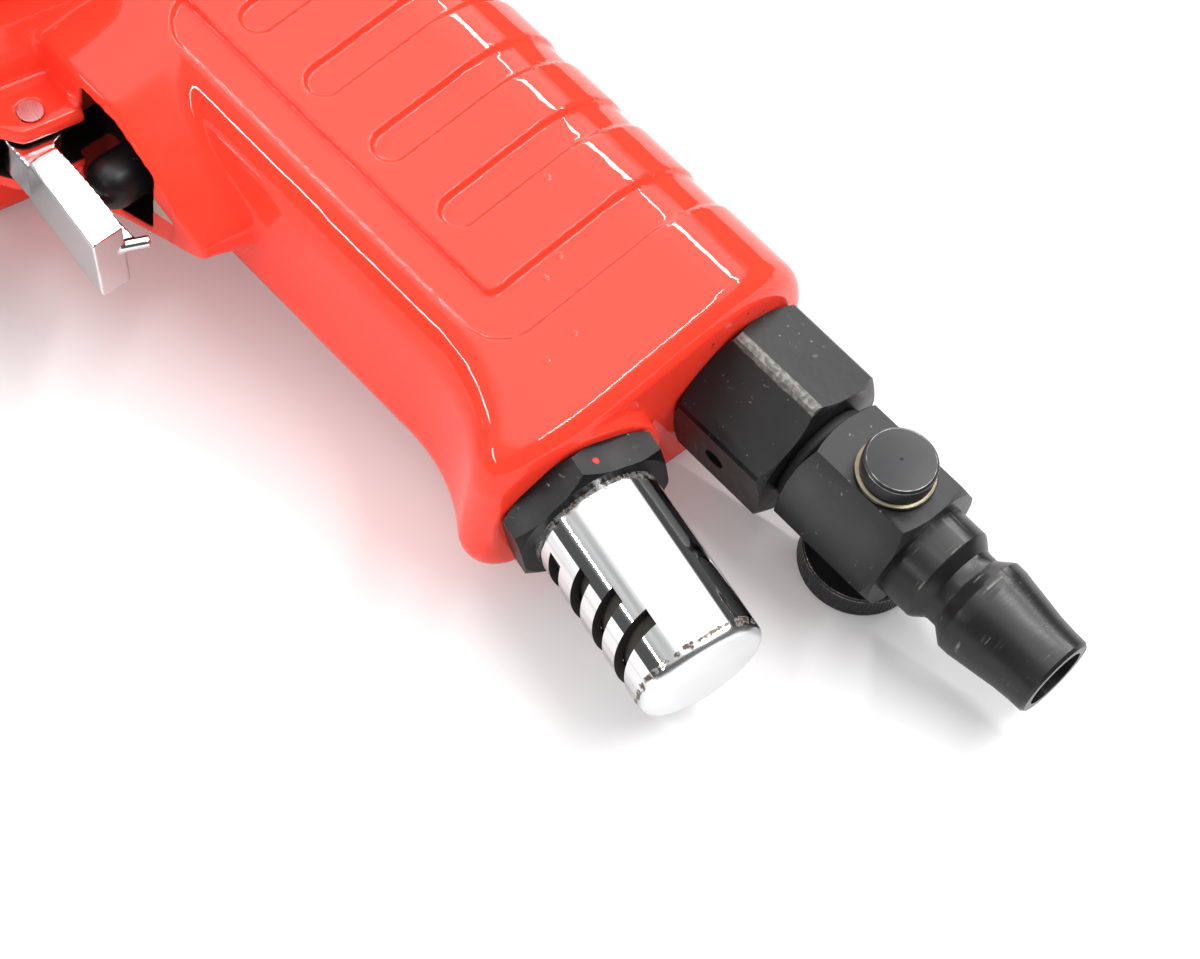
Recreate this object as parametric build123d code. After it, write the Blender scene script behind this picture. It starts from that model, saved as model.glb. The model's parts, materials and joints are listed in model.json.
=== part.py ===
from build123d import *
from math import acos, asin, atan2, cos, degrees, hypot, pi, radians, sin
import os

# Air impact wrench with a pistol grip and a half inch square drive.
# It is drawn upright in millimetres: X forward along the drive axis, Y to the tool's left, Z up,
# with the origin in the middle of the square drive's front face. At the end it is laid on its
# right side, resting on the barrel and the regulator knob.

# Clearances
PRESS = 0.01          # radial gap of pressed, screwed and glued fits
SLIP = 0.05           # radial gap of turning and sliding fits
AIR = 0.4             # gap between faces that pass each other without touching
LOOSE = 0.25          # radial gap of a bolt in its through hole

# Barrel and its end joints
BARREL_R = 27.5
MOTOR_BORE_R = 22.5
GASKET = 0.8
BOLT_R = 2.5
BOLT_HEAD_R = 4.25
BOLT_HEAD = 5.0
BOLT_SOCKET = 4.0     # across flats
BOLT_GRIP = 10.0      # length of bolt in the housing
BOLT_DEEPER = 2.0     # depth of a bolt hole beyond the bolt
BOLT_ORBIT = 28.0
EAR_R = 5.0
EAR_LEN = 7.0
BOSS_LEN = 15.0
BOLT_ANGLES = (45, 135, 225, 315)

# Nose, hammer case and anvil
SQUARE = 12.7
SQUARE_LEN = 13.0
SQUARE_BEVEL = 1.2
RING_GROOVE_X = 5.0   # middle of the retaining ring, from the front face
RING_WIDTH = 2.2
RING_R = 7.0
RING_SEAT_R = 4.6
RING_WALL = 1.3
RING_SPLIT = 1.6
NOSE_GAP = 1.0
NOSE_R = 14.5
NOSE_LEN = 11.0
SHOULDER_LEN = 20.0   # length of the taper from nose to barrel
CASE_LEN = 68.0
CHAMBER_R = 21.5
CHAMBER_LEN = 41.0
JOURNAL_R = 8.75
BUSH_WALL = 2.2
COLLAR_R = 10.8
COLLAR_LEN = 2.0
ANVIL_CORE_R = 7.6
LUG_R = 11.0
LUG_ANGLE = 50.0
PILOT_R = 3.0
PILOT_LEN = 6.0

# Twin hammers in their cage
CAGE_R = 21.0
CAGE_BORE_R = 18.7
CAGE_FRONT_WALL = 3.0
CAGE_REAR_WALL = 5.0
CAGE_WINDOW = 96.0    # angle of each side window
HAMMER_R = 18.2
HAMMER_BORE_R = 11.8
PIN_R = 3.2
PIN_ORBIT = 16.9

# Vane motor
FRONT_PLATE_LEN = 10.0
REAR_PLATE_LEN = 10.0
LINER_LEN = 41.0
SPIGOT_LEN = 4.0
LINER_BORE_R = 18.3
ECCENTRIC = 2.0
ROTOR_R = 16.0
VANE_COUNT = 6
VANE_THICK = 2.4
VANE_DEPTH = 7.0
SPLINE_R = 6.0
SPLINE_ROOT_R = 5.0
SPLINE_TEETH = 6
SPLINE_TOOTH = 2.4
FRONT_SHAFT_R = 6.0
REAR_SHAFT_R = 5.0
BEARING_WIDTH = 8.0
BEARING_RING = 2.2    # radial thickness of each bearing ring
FRONT_BEARING_R = 14.0
REAR_BEARING_R = 13.0
PLATE_WEB = 1.8       # wall that the bearing seats on
DOWEL_R = 1.5
DOWEL_REACH = 4.0     # length of dowel in each end plate

# Rear cover and reverse control
COVER_LEN = 13.0
COVER_DOME = 7.0      # radius of the rounded rim
VALVE_DISC_R = 16.0
VALVE_DISC = 4.2
REVERSE_SHAFT_R = 5.0
REVERSE_SEAL = 1.6
LEVER_HUB_R = 8.0
LEVER_ARM = 20.0
LEVER_TIP_R = 4.5
LEVER_THICK = 5.0
LEVER_REST = 30.0     # lean of the reverse lever to the tool's left
SCREW_R = 2.0
SCREW_LEN = 5.5
SCREW_HEAD_R = 3.6
SCREW_HEAD = 2.4

# Pistol grip: its own axes run forward, left and up along the air inlet,
# from the crossing of the inlet and the regulator spindle
RAKE = 11.1
INLET_SETBACK = 65.2  # crossing behind the front of the motor housing
INLET_DROP = 117.0    # crossing below the drive axis
GRIP_R = 16.0
GRIP_BACK_X = 3.7     # middle of the round back
GRIP_CREASE_X = 4.3   # where the flat sides start
GRIP_FRONT_X = 29.7
GRIP_END_Z = 23.4
GRIP_TAPER = 7.1      # degrees that each side leans in towards the front
GRIP_FRONT_FILLET = 6.5
GRIP_END_FILLET = 3.0
FLARE_X = 39.2        # tip of the front at the end, before its edge is rounded
FLARE_Z = 44.0        # where the front starts to flare towards the end
END_BEND = 4.0        # bend of the end, to each side of its middle
NECK_FILLET = 5.0

# Moulded panel on the grip
PANEL_DEPTH = 0.8
PANEL_BACK_DEPTH = 0.35
PANEL_EDGE_X = 26.2
PANEL_PAD_X = 21.9
PANEL_EDGE_Z = 36.1
PANEL_PAD_Z = 42.0
PANEL_CORNER = 5.0
PANEL_TOP_Z = 93.0
SLOT_WIDTH = 4.3
SLOT_PITCH = 11.1
SLOT_FIRST_Z = 52.0
SLOT_COUNT = 4
SLOT_TIP_X = 19.5

# Trigger boss, hood and lever
BOSS_FRONT_X = 36.6
BOSS_FRONT_HALF = 10.4
BOSS_FRONT_R = 1.8    # round point at its lower end
BOSS_BASE_X = 25.5
BOSS_BASE_HALF = 13.2
BOSS_BASE_R = 5.0
BOSS_LOW_Z = 71.4
BOSS_BASE_LOW_Z = 68.0
BOSS_SHOULDER_Z = 88.5
BOSS_EDGE = 1.0
THROTTLE_Z = 85.5
POCKET_WALL = 1.8     # round the pocket of the plunger
POCKET_LOW_Z = 80.5
POCKET_TOP_Z = 93.0
POCKET_BACK_X = 32.2
SPOT_R = 9.0
SPOT_DEPTH = 0.25
HOOD_DROP = 34.0      # underside of the hood below the drive axis
HOOD_NOSE = 4.0
HOOD_EDGE = 1.2
EAR_WALL = 2.2        # thickness of the hood beside the lever's head
PIVOT_X = 41.5
PIVOT_Z = 95.5
PIVOT_R = 1.5
EAR_PAD_R = 3.6
LEVER_WIDTH = 8.0
LEVER_HEAD = 6.0      # width of the head in the hood
LEVER_BODY = 3.7
LEVER_TOP_X = 41.6
LEVER_TOP_Z = 91.0
LEVER_MID_X = 41.95
LEVER_MID_Z = 83.0
LEVER_LOW_X = 43.6
LEVER_LOW_Z = 73.9
LEVER_ROUND = 3.6     # round lower end, seen from the front
RIB_THICK = 2.0
RIB_GAP = 0.15        # between the rib and the plunger
RIB_LOW_Z = 77.4
LEVER_EDGE = 0.6

# Throttle valve
THROTTLE_BORE_R = 7.0
THROTTLE_END_X = -5.0
THROTTLE_CAP = 6.0
CAP_SOCKET = 6.0      # across flats
BUSH_BACK_X = 17.0
BUSH_FRONT_X = 31.0
PLUNGER_R = 3.2
PLUNGER_TIP_X = 41.0
PLUNGER_BACK_X = 28.0
STEM_R = 1.6
POPPET_R = 5.6
POPPET = 3.2
POPPET_HUB = 4.0
GALLERY_R = 4.6
GALLERY_FRONT_X = 27.0
SUPPLY_R = 2.6
SEAL = 1.6            # section of the throttle bush seal
SPRING_R = 4.3        # middle of the wire
SPRING_WIRE_R = 0.5
SPRING_TURNS = 5

# Air inlet, regulator and quick plug
INLET_BORE_R = 6.2
INLET_HEX = 18.0
INLET_HEX_TURNED_R = 10.2
INLET_HEX_END_Z = 9.8
INLET_HEX_TURN = 18.0 # angle of a corner from straight ahead
INLET_THREAD_R = 8.2
INLET_THREAD_LEN = 12.0
INLET_BUSH_BORE_R = 5.6
CROSS_HOLE_R = 1.0
CROSS_HOLE_Z = 16.9
HEX_BEVEL = 1.2
REGULATOR_HEX = 16.0
REGULATOR_TOP_Z = 6.9
REGULATOR_END_Z = -6.3
REGULATOR_STEM = 14.0
PLUG_NECK_R = 6.15
PLUG_NECK_Z = -10.6
PLUG_GROOVE_R = 4.9
PLUG_GROOVE_Z = -12.0
PLUG_GROOVE_END_Z = -13.4
PLUG_COLLAR_R = 6.2
PLUG_COLLAR_Z = -15.0
PLUG_COLLAR_END_Z = -16.6
PLUG_WAIST_Z = -22.5
PLUG_WAIST_R = 5.25
PLUG_TIP_R = 5.1
PLUG_TIP_Z = -26.7
PLUG_BORE_R = 3.75
SEAL_R = 7.6          # sealing ring between the hexagons
SCREEN_WALL = 0.6
SCREEN_LEN = 8.0
SCREEN_HOLES = 6
SCREEN_HOLE_R = 0.9

# Regulator spindle
SPINDLE_R = 4.2
SPINDLE_TOP = 11.2
SPINDLE_PORT_R = 3.0
KNOB_R = 7.0
KNOB_NEAR = 8.4
KNOB_FAR = 12.0
KNOB_BEVEL = 0.6
CLIP_R = 4.75
CLIP = 0.8
CLIP_GROOVE_R = 3.7
SPINDLE_SEAL = 1.0
SPINDLE_SEAL_Y = 6.4

# Exhaust muffler, upright in the tool
MUFFLER_AHEAD = 28.3  # axis ahead of the inlet crossing
MUFFLER_R = 7.7
MUFFLER_WALL = 1.1
MUFFLER_END = 9.0     # closed end below the inlet crossing
MUFFLER_ROUND = 1.6
MUFFLER_THREAD = 12.0
EXHAUST_R = 5.5
DUCT_R = 2.6
DUCT_SPREAD = 10.4
CUT_COUNT = 4
CUT_WIDTH = 1.95
CUT_PITCH = 4.25
CUT_LAST = 1.85       # lower edge of the last cut below the inlet crossing
CUT_DEPTH = 1.0
CUT_DEEPEN = 1.6      # each cut is this much deeper than the one above
CUT_TURN = -22.0
NUT_HEX = 18.5
NUT_LEN = 3.8
NUT_TOP = -18.0       # upper face, measured below the inlet crossing
NUT_TURN = 15.0
NUT_SEAT_R = 10.8
FELT_GAP = 0.4

# Places along the drive axis, from the front
CASE_FRONT = -(SQUARE_LEN + NOSE_GAP)
CASE_BACK = CASE_FRONT - CASE_LEN
CHAMBER_FRONT = CASE_BACK + CHAMBER_LEN
HOUSING_FRONT = CASE_BACK - GASKET
LINER_FRONT = HOUSING_FRONT - FRONT_PLATE_LEN
LINER_BACK = LINER_FRONT - LINER_LEN
PLATE_BACK = LINER_BACK - REAR_PLATE_LEN
HOUSING_BACK = PLATE_BACK - SPIGOT_LEN
COVER_FRONT = HOUSING_BACK - GASKET
COVER_BACK = COVER_FRONT - COVER_LEN
COLLAR_FRONT = CHAMBER_FRONT - AIR
CAGE_FRONT = COLLAR_FRONT - COLLAR_LEN - AIR
CAGE_BACK = CASE_BACK + 2 * AIR
HAMMER_FRONT = CAGE_FRONT - CAGE_FRONT_WALL - AIR
HAMMER_BACK = CAGE_BACK + CAGE_REAR_WALL + AIR
HAMMER_LEN = (HAMMER_FRONT - HAMMER_BACK - AIR) / 2
BUSH_R = JOURNAL_R + SLIP + BUSH_WALL
DOWEL_ORBIT = (MOTOR_BORE_R + LINER_BORE_R - ECCENTRIC) / 2
INLET_X = HOUSING_FRONT - INLET_SETBACK
GRIP = Pos(INLET_X, 0, -INLET_DROP) * Rot(0, RAKE, 0)
GRIP_TOP_Z = (INLET_DROP - MOTOR_BORE_R / 2) / cos(radians(RAKE))
MUFFLER_X = INLET_X + MUFFLER_AHEAD
LEVER_BACK = COVER_BACK - AIR - LEVER_THICK
HOOD_HALF = LEVER_HEAD / 2 + AIR + EAR_WALL

# The tool lies on its right side: the barrel and the rim of the knob touch the ground
REST_TILT = degrees(
    atan2(INLET_DROP + KNOB_R, KNOB_FAR)
    - acos(BARREL_R / hypot(INLET_DROP + KNOB_R, KNOB_FAR))
)
LAID = Rot(90 - REST_TILT, 0, 0)


def along_x(radius, start, end):
    """Round bar on the X axis between two places."""
    return Pos((start + end) / 2, 0, 0) * Rot(0, 90, 0) * Cylinder(radius, abs(end - start))


def along_y(radius, start, end):
    """Round bar on the Y axis between two places."""
    return Pos(0, (start + end) / 2, 0) * Rot(90, 0, 0) * Cylinder(radius, abs(end - start))


def along_z(radius, start, end):
    """Round bar on the Z axis between two places."""
    return Pos(0, 0, (start + end) / 2) * Cylinder(radius, abs(end - start))


def tube_x(outer, inner, start, end):
    """Ring on the X axis."""
    return along_x(outer, start, end) - along_x(inner, start, end)


def turned_x(*profile):
    """Turned piece on the X axis, from points (place, radius)."""
    return revolve(make_face(Plane.XZ * Polyline(*profile, close=True)), Axis.X)


def turned_z(*profile):
    """Turned piece on the Z axis, from points (radius, place)."""
    return revolve(make_face(Plane.XZ * Polyline(*profile, close=True)), Axis.Z)


def seal_ring(inner, section):
    """Sealing ring round the Z axis, lying flat at the origin, with an eight sided section."""
    face = Plane.XZ * Pos(inner + section / 2, 0) * RegularPolygon(section / 2, 8)
    return revolve(face, Axis.Z)


def hexagon(across, start, end, turn, bevel, corner_r):
    """Hexagon bar on the Z axis with both ends turned to a bevel; a corner points along turn."""
    bar = extrude(RegularPolygon(across / 2, 6, major_radius=False, rotation=turn), end - start)
    blank = turned_z(
        (0, 0),
        (corner_r - bevel, 0),
        (corner_r, bevel * 0.6),
        (corner_r, end - start - bevel * 0.6),
        (corner_r - bevel, end - start),
        (0, end - start),
    )
    return Pos(0, 0, start) * (bar & blank)


def on_bolts(shape):
    """One copy of a shape at each bolt of an end joint."""
    return [Rot(angle, 0, 0) * Pos(0, BOLT_ORBIT, 0) * shape for angle in BOLT_ANGLES]


def cap_screw(radius, length, head_r, head, socket):
    """Socket head screw along X: shank to minus X, underside of the head at the origin."""
    screw = along_x(radius, -length, 0) + along_x(head_r, 0, head)
    recess = extrude(Plane.YZ.offset(head) * RegularPolygon(socket / 2, 6, major_radius=False), -head / 2)
    return screw - recess


def joint_gasket(front, inner):
    """Flat paper gasket of an end joint."""
    ring = along_x(BARREL_R, front - GASKET, front)
    ears = on_bolts(along_x(EAR_R, front - GASKET, front))
    holes = on_bolts(along_x(BOLT_R + LOOSE, front - GASKET, front))
    return ring + ears - along_x(inner, front - GASKET, front) - holes


def grip_section(inset, back_inset):
    """Cross section of the grip, drawn in at the sides and the back: round back and sides that lean in."""
    radius = GRIP_R - inset
    back = GRIP_BACK_X - inset + back_inset
    crease_y = (radius**2 - (GRIP_CREASE_X - back) ** 2) ** 0.5
    reach = 2 * BOSS_FRONT_X
    tip_y = crease_y - (reach - GRIP_CREASE_X) * sin(radians(GRIP_TAPER)) / cos(radians(GRIP_TAPER))
    round_back = ThreePointArc((GRIP_CREASE_X, crease_y), (back - radius, 0), (GRIP_CREASE_X, -crease_y))
    sides = Polyline((GRIP_CREASE_X, -crease_y), (reach, -tip_y), (reach, tip_y), (GRIP_CREASE_X, crease_y))
    return make_face(round_back + sides)


def grip_body():
    """Bare grip in its own axes: its end bends from square to the inlet to square to the muffler."""
    seat = (GRIP.inverse() * Pos(MUFFLER_X, 0, -INLET_DROP - NUT_TOP)).position
    lean = sin(radians(RAKE)) / cos(radians(RAKE))
    bend_x = seat.X + (GRIP_END_Z - seat.Z) / lean
    bend_start = (bend_x - END_BEND, GRIP_END_Z)
    bend_end = (bend_x + END_BEND * cos(radians(RAKE)), GRIP_END_Z + END_BEND * sin(radians(RAKE)))
    tip = (FLARE_X, seat.Z + (FLARE_X - seat.X) * lean)
    back_x = GRIP_BACK_X - GRIP_R
    outline = TangentArc((GRIP_FRONT_X, FLARE_Z), tip, tangent=(0, -1))
    outline += Line(tip, bend_end)
    outline += TangentArc(bend_start, bend_end, tangent=(1, 0))
    outline += Polyline(
        bend_start,
        (back_x, GRIP_END_Z),
        (back_x, GRIP_TOP_Z),
        (GRIP_FRONT_X, GRIP_TOP_Z),
        (GRIP_FRONT_X, FLARE_Z),
    )
    column = extrude(Pos(0, 0, GRIP_END_Z) * grip_section(0, 0), GRIP_TOP_Z - GRIP_END_Z)
    body = column & extrude(Plane.XZ * make_face(outline), GRIP_R, both=True)
    front_edges = [
        edge
        for edge in body.edges()
        if edge.center().X > GRIP_FRONT_X - PRESS
        and edge.center().Z > tip[1] + GRIP_END_FILLET
        and abs(edge.center().Y) > GRIP_R / 2
    ]
    body = fillet(front_edges, GRIP_FRONT_FILLET)
    end_faces = [face for face in body.faces() if face.normal_at().Z < -cos(radians(2 * RAKE))]
    end_edges = [
        edge
        for face in end_faces
        for edge in face.edges()
        if edge.center().X < 0 or edge.center().X > FLARE_X - END_BEND or abs(edge.center().Y) > GRIP_R / 2
    ]
    return fillet(end_edges, GRIP_END_FILLET)


def panel_cut():
    """Sunk bands of the grip panel: they lie in the skin of both sides and run round the back."""
    floor = grip_section(PANEL_DEPTH, PANEL_BACK_DEPTH)
    skin = extrude(grip_section(-PANEL_DEPTH, -PANEL_DEPTH), GRIP_TOP_Z) - extrude(floor, GRIP_TOP_Z)
    back_x = GRIP_BACK_X - 2 * GRIP_R
    frame = Pos((PANEL_EDGE_X + back_x) / 2, (PANEL_TOP_Z + PANEL_EDGE_Z) / 2) * RectangleRounded(
        PANEL_EDGE_X - back_x, PANEL_TOP_Z - PANEL_EDGE_Z, PANEL_CORNER
    )
    pad_corner = PANEL_CORNER / 4
    pad_top = PANEL_TOP_Z + PANEL_CORNER
    pad = Pos((PANEL_PAD_X + back_x) / 2, (pad_top + PANEL_PAD_Z) / 2) * RectangleRounded(
        PANEL_PAD_X - back_x, pad_top - PANEL_PAD_Z, pad_corner
    )
    bands = frame - pad
    slot_len = SLOT_TIP_X - back_x
    for index in range(SLOT_COUNT):
        slot = Pos(SLOT_TIP_X - slot_len / 2, SLOT_FIRST_Z + index * SLOT_PITCH)
        bands += slot * SlotOverall(slot_len, SLOT_WIDTH)
    return extrude(Plane.XZ * bands, 2 * GRIP_R, both=True) & skin


def boss_outline(place, low, radius, half):
    """Outline of the trigger boss at a place along the throttle axis: a round point that widens to the sides."""
    centre = low + radius
    reach = hypot(half, BOSS_SHOULDER_Z - centre)
    turn = atan2(BOSS_SHOULDER_Z - centre, half) - acos(radius / reach)
    touch_y = radius * cos(turn)
    touch_z = centre + radius * sin(turn)
    point = ThreePointArc((-touch_y, touch_z), (0, low), (touch_y, touch_z))
    sides = Polyline(
        (touch_y, touch_z),
        (half, BOSS_SHOULDER_Z),
        (half, GRIP_TOP_Z),
        (-half, GRIP_TOP_Z),
        (-half, BOSS_SHOULDER_Z),
        (-touch_y, touch_z),
    )
    return Plane.YZ * Pos(0, 0, place) * make_face(point + sides)


def trigger_boss():
    """Boss round the throttle plunger: it narrows to a flat front face, in the axes of the grip."""
    base = boss_outline(BOSS_BASE_X, BOSS_BASE_LOW_Z, BOSS_BASE_R, BOSS_BASE_HALF)
    boss = loft([base, boss_outline(BOSS_FRONT_X, BOSS_LOW_Z, BOSS_FRONT_R, BOSS_FRONT_HALF)])
    return fillet(boss.faces().sort_by(Axis.X)[-1].edges(), BOSS_EDGE)


def trigger_hood():
    """Hood under the front of the barrel that holds the trigger pivot."""
    front = HOUSING_FRONT
    back = (GRIP * Pos(BOSS_BASE_X, 0, PIVOT_Z)).position.X
    outline = Polyline(
        (back, 0),
        (back, -HOOD_DROP),
        (front - HOOD_NOSE, -HOOD_DROP),
        (front, -HOOD_DROP + HOOD_NOSE),
        (front, 0),
        close=True,
    )
    hood = extrude(Plane.XZ * make_face(outline), HOOD_HALF, both=True)
    long_edges = hood.edges().filter_by(Axis.Y).group_by(Axis.Z)[0]
    side_edges = [edge for edge in hood.faces().sort_by(Axis.Z)[0].edges() if abs(edge.center().Y) > EAR_WALL]
    return fillet(list(long_edges) + side_edges, HOOD_EDGE)


def trigger_slot():
    """Slot for the lever's head, pocket and milled spot round the plunger, in the axes of the grip."""
    half = LEVER_HEAD / 2 + AIR
    front = PIVOT_X + EAR_PAD_R + 2 * AIR
    top = PIVOT_Z + EAR_PAD_R + AIR
    head = Pos((POCKET_BACK_X + front) / 2, 0, (THROTTLE_Z + top) / 2) * Box(
        front - POCKET_BACK_X, 2 * half, top - THROTTLE_Z
    )
    pocket_half = BOSS_FRONT_HALF - POCKET_WALL
    outline = boss_outline(POCKET_BACK_X, BOSS_LOW_Z + POCKET_WALL, BOSS_FRONT_R, pocket_half)
    height = POCKET_TOP_Z - POCKET_LOW_Z
    depth = BOSS_FRONT_X - POCKET_BACK_X
    room = Pos(POCKET_BACK_X + depth / 2, 0, POCKET_LOW_Z + height / 2) * Box(
        depth, 2 * BOSS_FRONT_HALF, height
    )
    pocket = extrude(outline, depth) & room
    spot = along_x(SPOT_R, BOSS_FRONT_X - SPOT_DEPTH, BOSS_FRONT_X)
    return head + pocket + Pos(0, 0, THROTTLE_Z) * spot


def grip_bores():
    """Air passages of the grip, in its own axes; the throttle bore is open at the back."""
    inlet = along_z(INLET_BORE_R, GRIP_END_Z, THROTTLE_Z)
    thread = along_z(INLET_THREAD_R + PRESS, GRIP_END_Z, GRIP_END_Z + INLET_THREAD_LEN)
    throttle = along_x(THROTTLE_BORE_R, -2 * GRIP_R, BUSH_FRONT_X)
    throttle += along_x(PLUNGER_R + LOOSE, BUSH_FRONT_X, BOSS_FRONT_X)
    middle = (BUSH_BACK_X + GALLERY_FRONT_X) / 2
    supply = Pos(middle, 0, 0) * along_z(SUPPLY_R, THROTTLE_Z, GRIP_TOP_Z)
    pivot = Pos(PIVOT_X, 0, PIVOT_Z) * along_y(PIVOT_R + PRESS, -GRIP_R, GRIP_R)
    return inlet + thread + Pos(0, 0, THROTTLE_Z) * throttle + supply + pivot


def exhaust_bores():
    """Exhaust passages: two ducts beside the throttle, which meet above the muffler."""
    meet = -INLET_DROP + THROTTLE_Z * 0.6
    seat = -INLET_DROP - NUT_TOP
    main = along_z(EXHAUST_R, seat, meet)
    thread = along_z(MUFFLER_R + PRESS, seat, seat + MUFFLER_THREAD)
    cross = Pos(0, 0, meet) * along_y(DUCT_R, -DUCT_SPREAD, DUCT_SPREAD)
    ducts = [Pos(0, side * DUCT_SPREAD, 0) * along_z(DUCT_R, meet, 0) for side in (-1, 1)]
    return Pos(MUFFLER_X, 0, 0) * (main + thread + cross + ducts)


def motor_housing():
    """Barrel, grip, trigger boss and hood in one casting."""
    body = along_x(BARREL_R, HOUSING_BACK, HOUSING_FRONT) + GRIP * grip_body()
    neck_edges = [
        edge
        for edge in body.edges()
        if -BARREL_R - PRESS < edge.center().Z < -MOTOR_BORE_R / 2
        and HOUSING_BACK + AIR < edge.center().X < HOUSING_FRONT - AIR
        and edge.geom_type != GeomType.LINE
    ]
    body = fillet(neck_edges, NECK_FILLET)
    front_boss = along_x(EAR_R, HOUSING_FRONT - BOSS_LEN, HOUSING_FRONT)
    front_boss += Pos(HOUSING_FRONT - BOSS_LEN, 0, 0) * Sphere(EAR_R)
    rear_boss = along_x(EAR_R, HOUSING_BACK, HOUSING_BACK + BOSS_LEN)
    rear_boss += Pos(HOUSING_BACK + BOSS_LEN, 0, 0) * Sphere(EAR_R)
    body += on_bolts(front_boss) + on_bolts(rear_boss)
    body += GRIP * trigger_boss() + trigger_hood()
    seat = -INLET_DROP - NUT_TOP
    body += Pos(MUFFLER_X, 0, 0) * along_z(NUT_SEAT_R, seat, seat + NUT_LEN)
    body -= along_x(MOTOR_BORE_R, HOUSING_BACK, HOUSING_FRONT)
    hole = BOLT_GRIP + BOLT_DEEPER
    body -= on_bolts(along_x(BOLT_R + PRESS, HOUSING_FRONT - hole, HOUSING_FRONT))
    body -= on_bolts(along_x(BOLT_R + PRESS, HOUSING_BACK, HOUSING_BACK + hole))
    body -= GRIP * (panel_cut() + trigger_slot() + grip_bores())
    body -= exhaust_bores()
    return body


def hammer_case():
    """Case of the hammers: nose, curved shoulder and a flange with bolt ears."""
    nose_end = CASE_FRONT - NOSE_LEN
    shoulder_end = nose_end - SHOULDER_LEN
    middle = ((nose_end + shoulder_end) / 2, (NOSE_R + BARREL_R) / 2)
    hollow = TangentArc((nose_end, NOSE_R), middle, tangent=(-1, 0))
    crown = TangentArc(middle, (shoulder_end, BARREL_R), tangent=hollow % 1)
    bush_seat = BUSH_R + PRESS
    walls = Polyline(
        (shoulder_end, BARREL_R),
        (CASE_BACK, BARREL_R),
        (CASE_BACK, CHAMBER_R),
        (CHAMBER_FRONT, CHAMBER_R),
        (CHAMBER_FRONT, bush_seat),
        (CASE_FRONT, bush_seat),
        (CASE_FRONT, NOSE_R - NOSE_GAP),
        (CASE_FRONT - NOSE_GAP, NOSE_R),
        (nose_end, NOSE_R),
    )
    case = revolve(Plane.XZ * make_face(hollow + crown + walls), Axis.X)
    flange = CASE_BACK + EAR_LEN
    case += on_bolts(along_x(EAR_R, CASE_BACK, flange))
    case -= on_bolts(along_x(BOLT_HEAD_R + AIR, flange, nose_end))
    return case - on_bolts(along_x(BOLT_R + LOOSE, CASE_BACK, flange))


def bolt_set(seat, facing):
    """Four cap screws of an end joint, heads on the seat; facing is 1 for heads to the front."""
    screw = cap_screw(BOLT_R, EAR_LEN + GASKET + BOLT_GRIP, BOLT_HEAD_R, BOLT_HEAD, BOLT_SOCKET)
    turn = Rot(0, 0, 0 if facing > 0 else 180)
    return on_bolts(Pos(seat, 0, 0) * turn * screw)


def anvil():
    """Anvil: square drive, journal, thrust collar, two lugs and the rear pilot."""
    corner = SQUARE * 0.65
    square = Pos(-SQUARE_LEN / 2, 0, 0) * Box(SQUARE_LEN, SQUARE, SQUARE)
    square &= turned_x(
        (-SQUARE_LEN, 0), (-SQUARE_LEN, corner), (-SQUARE_BEVEL, corner), (0, corner - SQUARE_BEVEL), (0, 0)
    )
    half = RING_WIDTH / 2 + SLIP
    square -= tube_x(SQUARE, RING_SEAT_R, -RING_GROOVE_X - half, -RING_GROOVE_X + half)
    collar_back = COLLAR_FRONT - COLLAR_LEN
    spindle = turned_x(
        (-SQUARE_LEN, 0),
        (-SQUARE_LEN, JOURNAL_R - NOSE_GAP),
        (-SQUARE_LEN - NOSE_GAP, JOURNAL_R),
        (COLLAR_FRONT, JOURNAL_R),
        (COLLAR_FRONT, COLLAR_R),
        (collar_back, COLLAR_R),
        (collar_back, ANVIL_CORE_R),
        (HAMMER_BACK, ANVIL_CORE_R),
        (HAMMER_BACK, PILOT_R),
        (HAMMER_BACK - PILOT_LEN, PILOT_R),
        (HAMMER_BACK - PILOT_LEN, 0),
    )
    width = 2 * LUG_R * sin(radians(LUG_ANGLE / 2))
    length = HAMMER_LEN - 2 * AIR
    piece = square + spindle
    for side, start in ((1, HAMMER_FRONT), (-1, HAMMER_BACK + HAMMER_LEN)):
        middle = start - HAMMER_LEN / 2
        lug = along_x(LUG_R, middle - length / 2, middle + length / 2)
        piece += lug & Pos(middle, 0, side * LUG_R / 2) * Box(length, width, LUG_R)
    return piece


def socket_ring():
    """Split ring that holds a socket on the square."""
    half = RING_WIDTH / 2
    ring = tube_x(RING_R, RING_R - RING_WALL, -RING_GROOVE_X - half, -RING_GROOVE_X + half)
    return ring - Pos(-RING_GROOVE_X, 0, RING_R) * Box(2 * RING_WIDTH, RING_SPLIT, 2 * RING_WALL + SLIP)


def hammer_cage():
    """Cage that the rotor drives: end walls, two webs and the seats of the hammer pins."""
    front = CAGE_FRONT - CAGE_FRONT_WALL
    back = CAGE_BACK + CAGE_REAR_WALL
    cage = along_x(CAGE_R, CAGE_BACK, CAGE_FRONT) - along_x(CAGE_BORE_R, back, front)
    height = 2 * CAGE_R * sin(radians(CAGE_WINDOW / 2))
    cage -= Pos((front + back) / 2, 0, 0) * Box(front - back, 4 * CAGE_R, height)
    cage -= along_x(LUG_R + AIR, front, CAGE_FRONT)
    cage -= spline(PRESS, CAGE_BACK, back)
    for side in (1, -1):
        cage -= Pos(0, 0, side * PIN_ORBIT) * along_x(PIN_R + PRESS, CAGE_BACK, CAGE_FRONT)
    return cage


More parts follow.
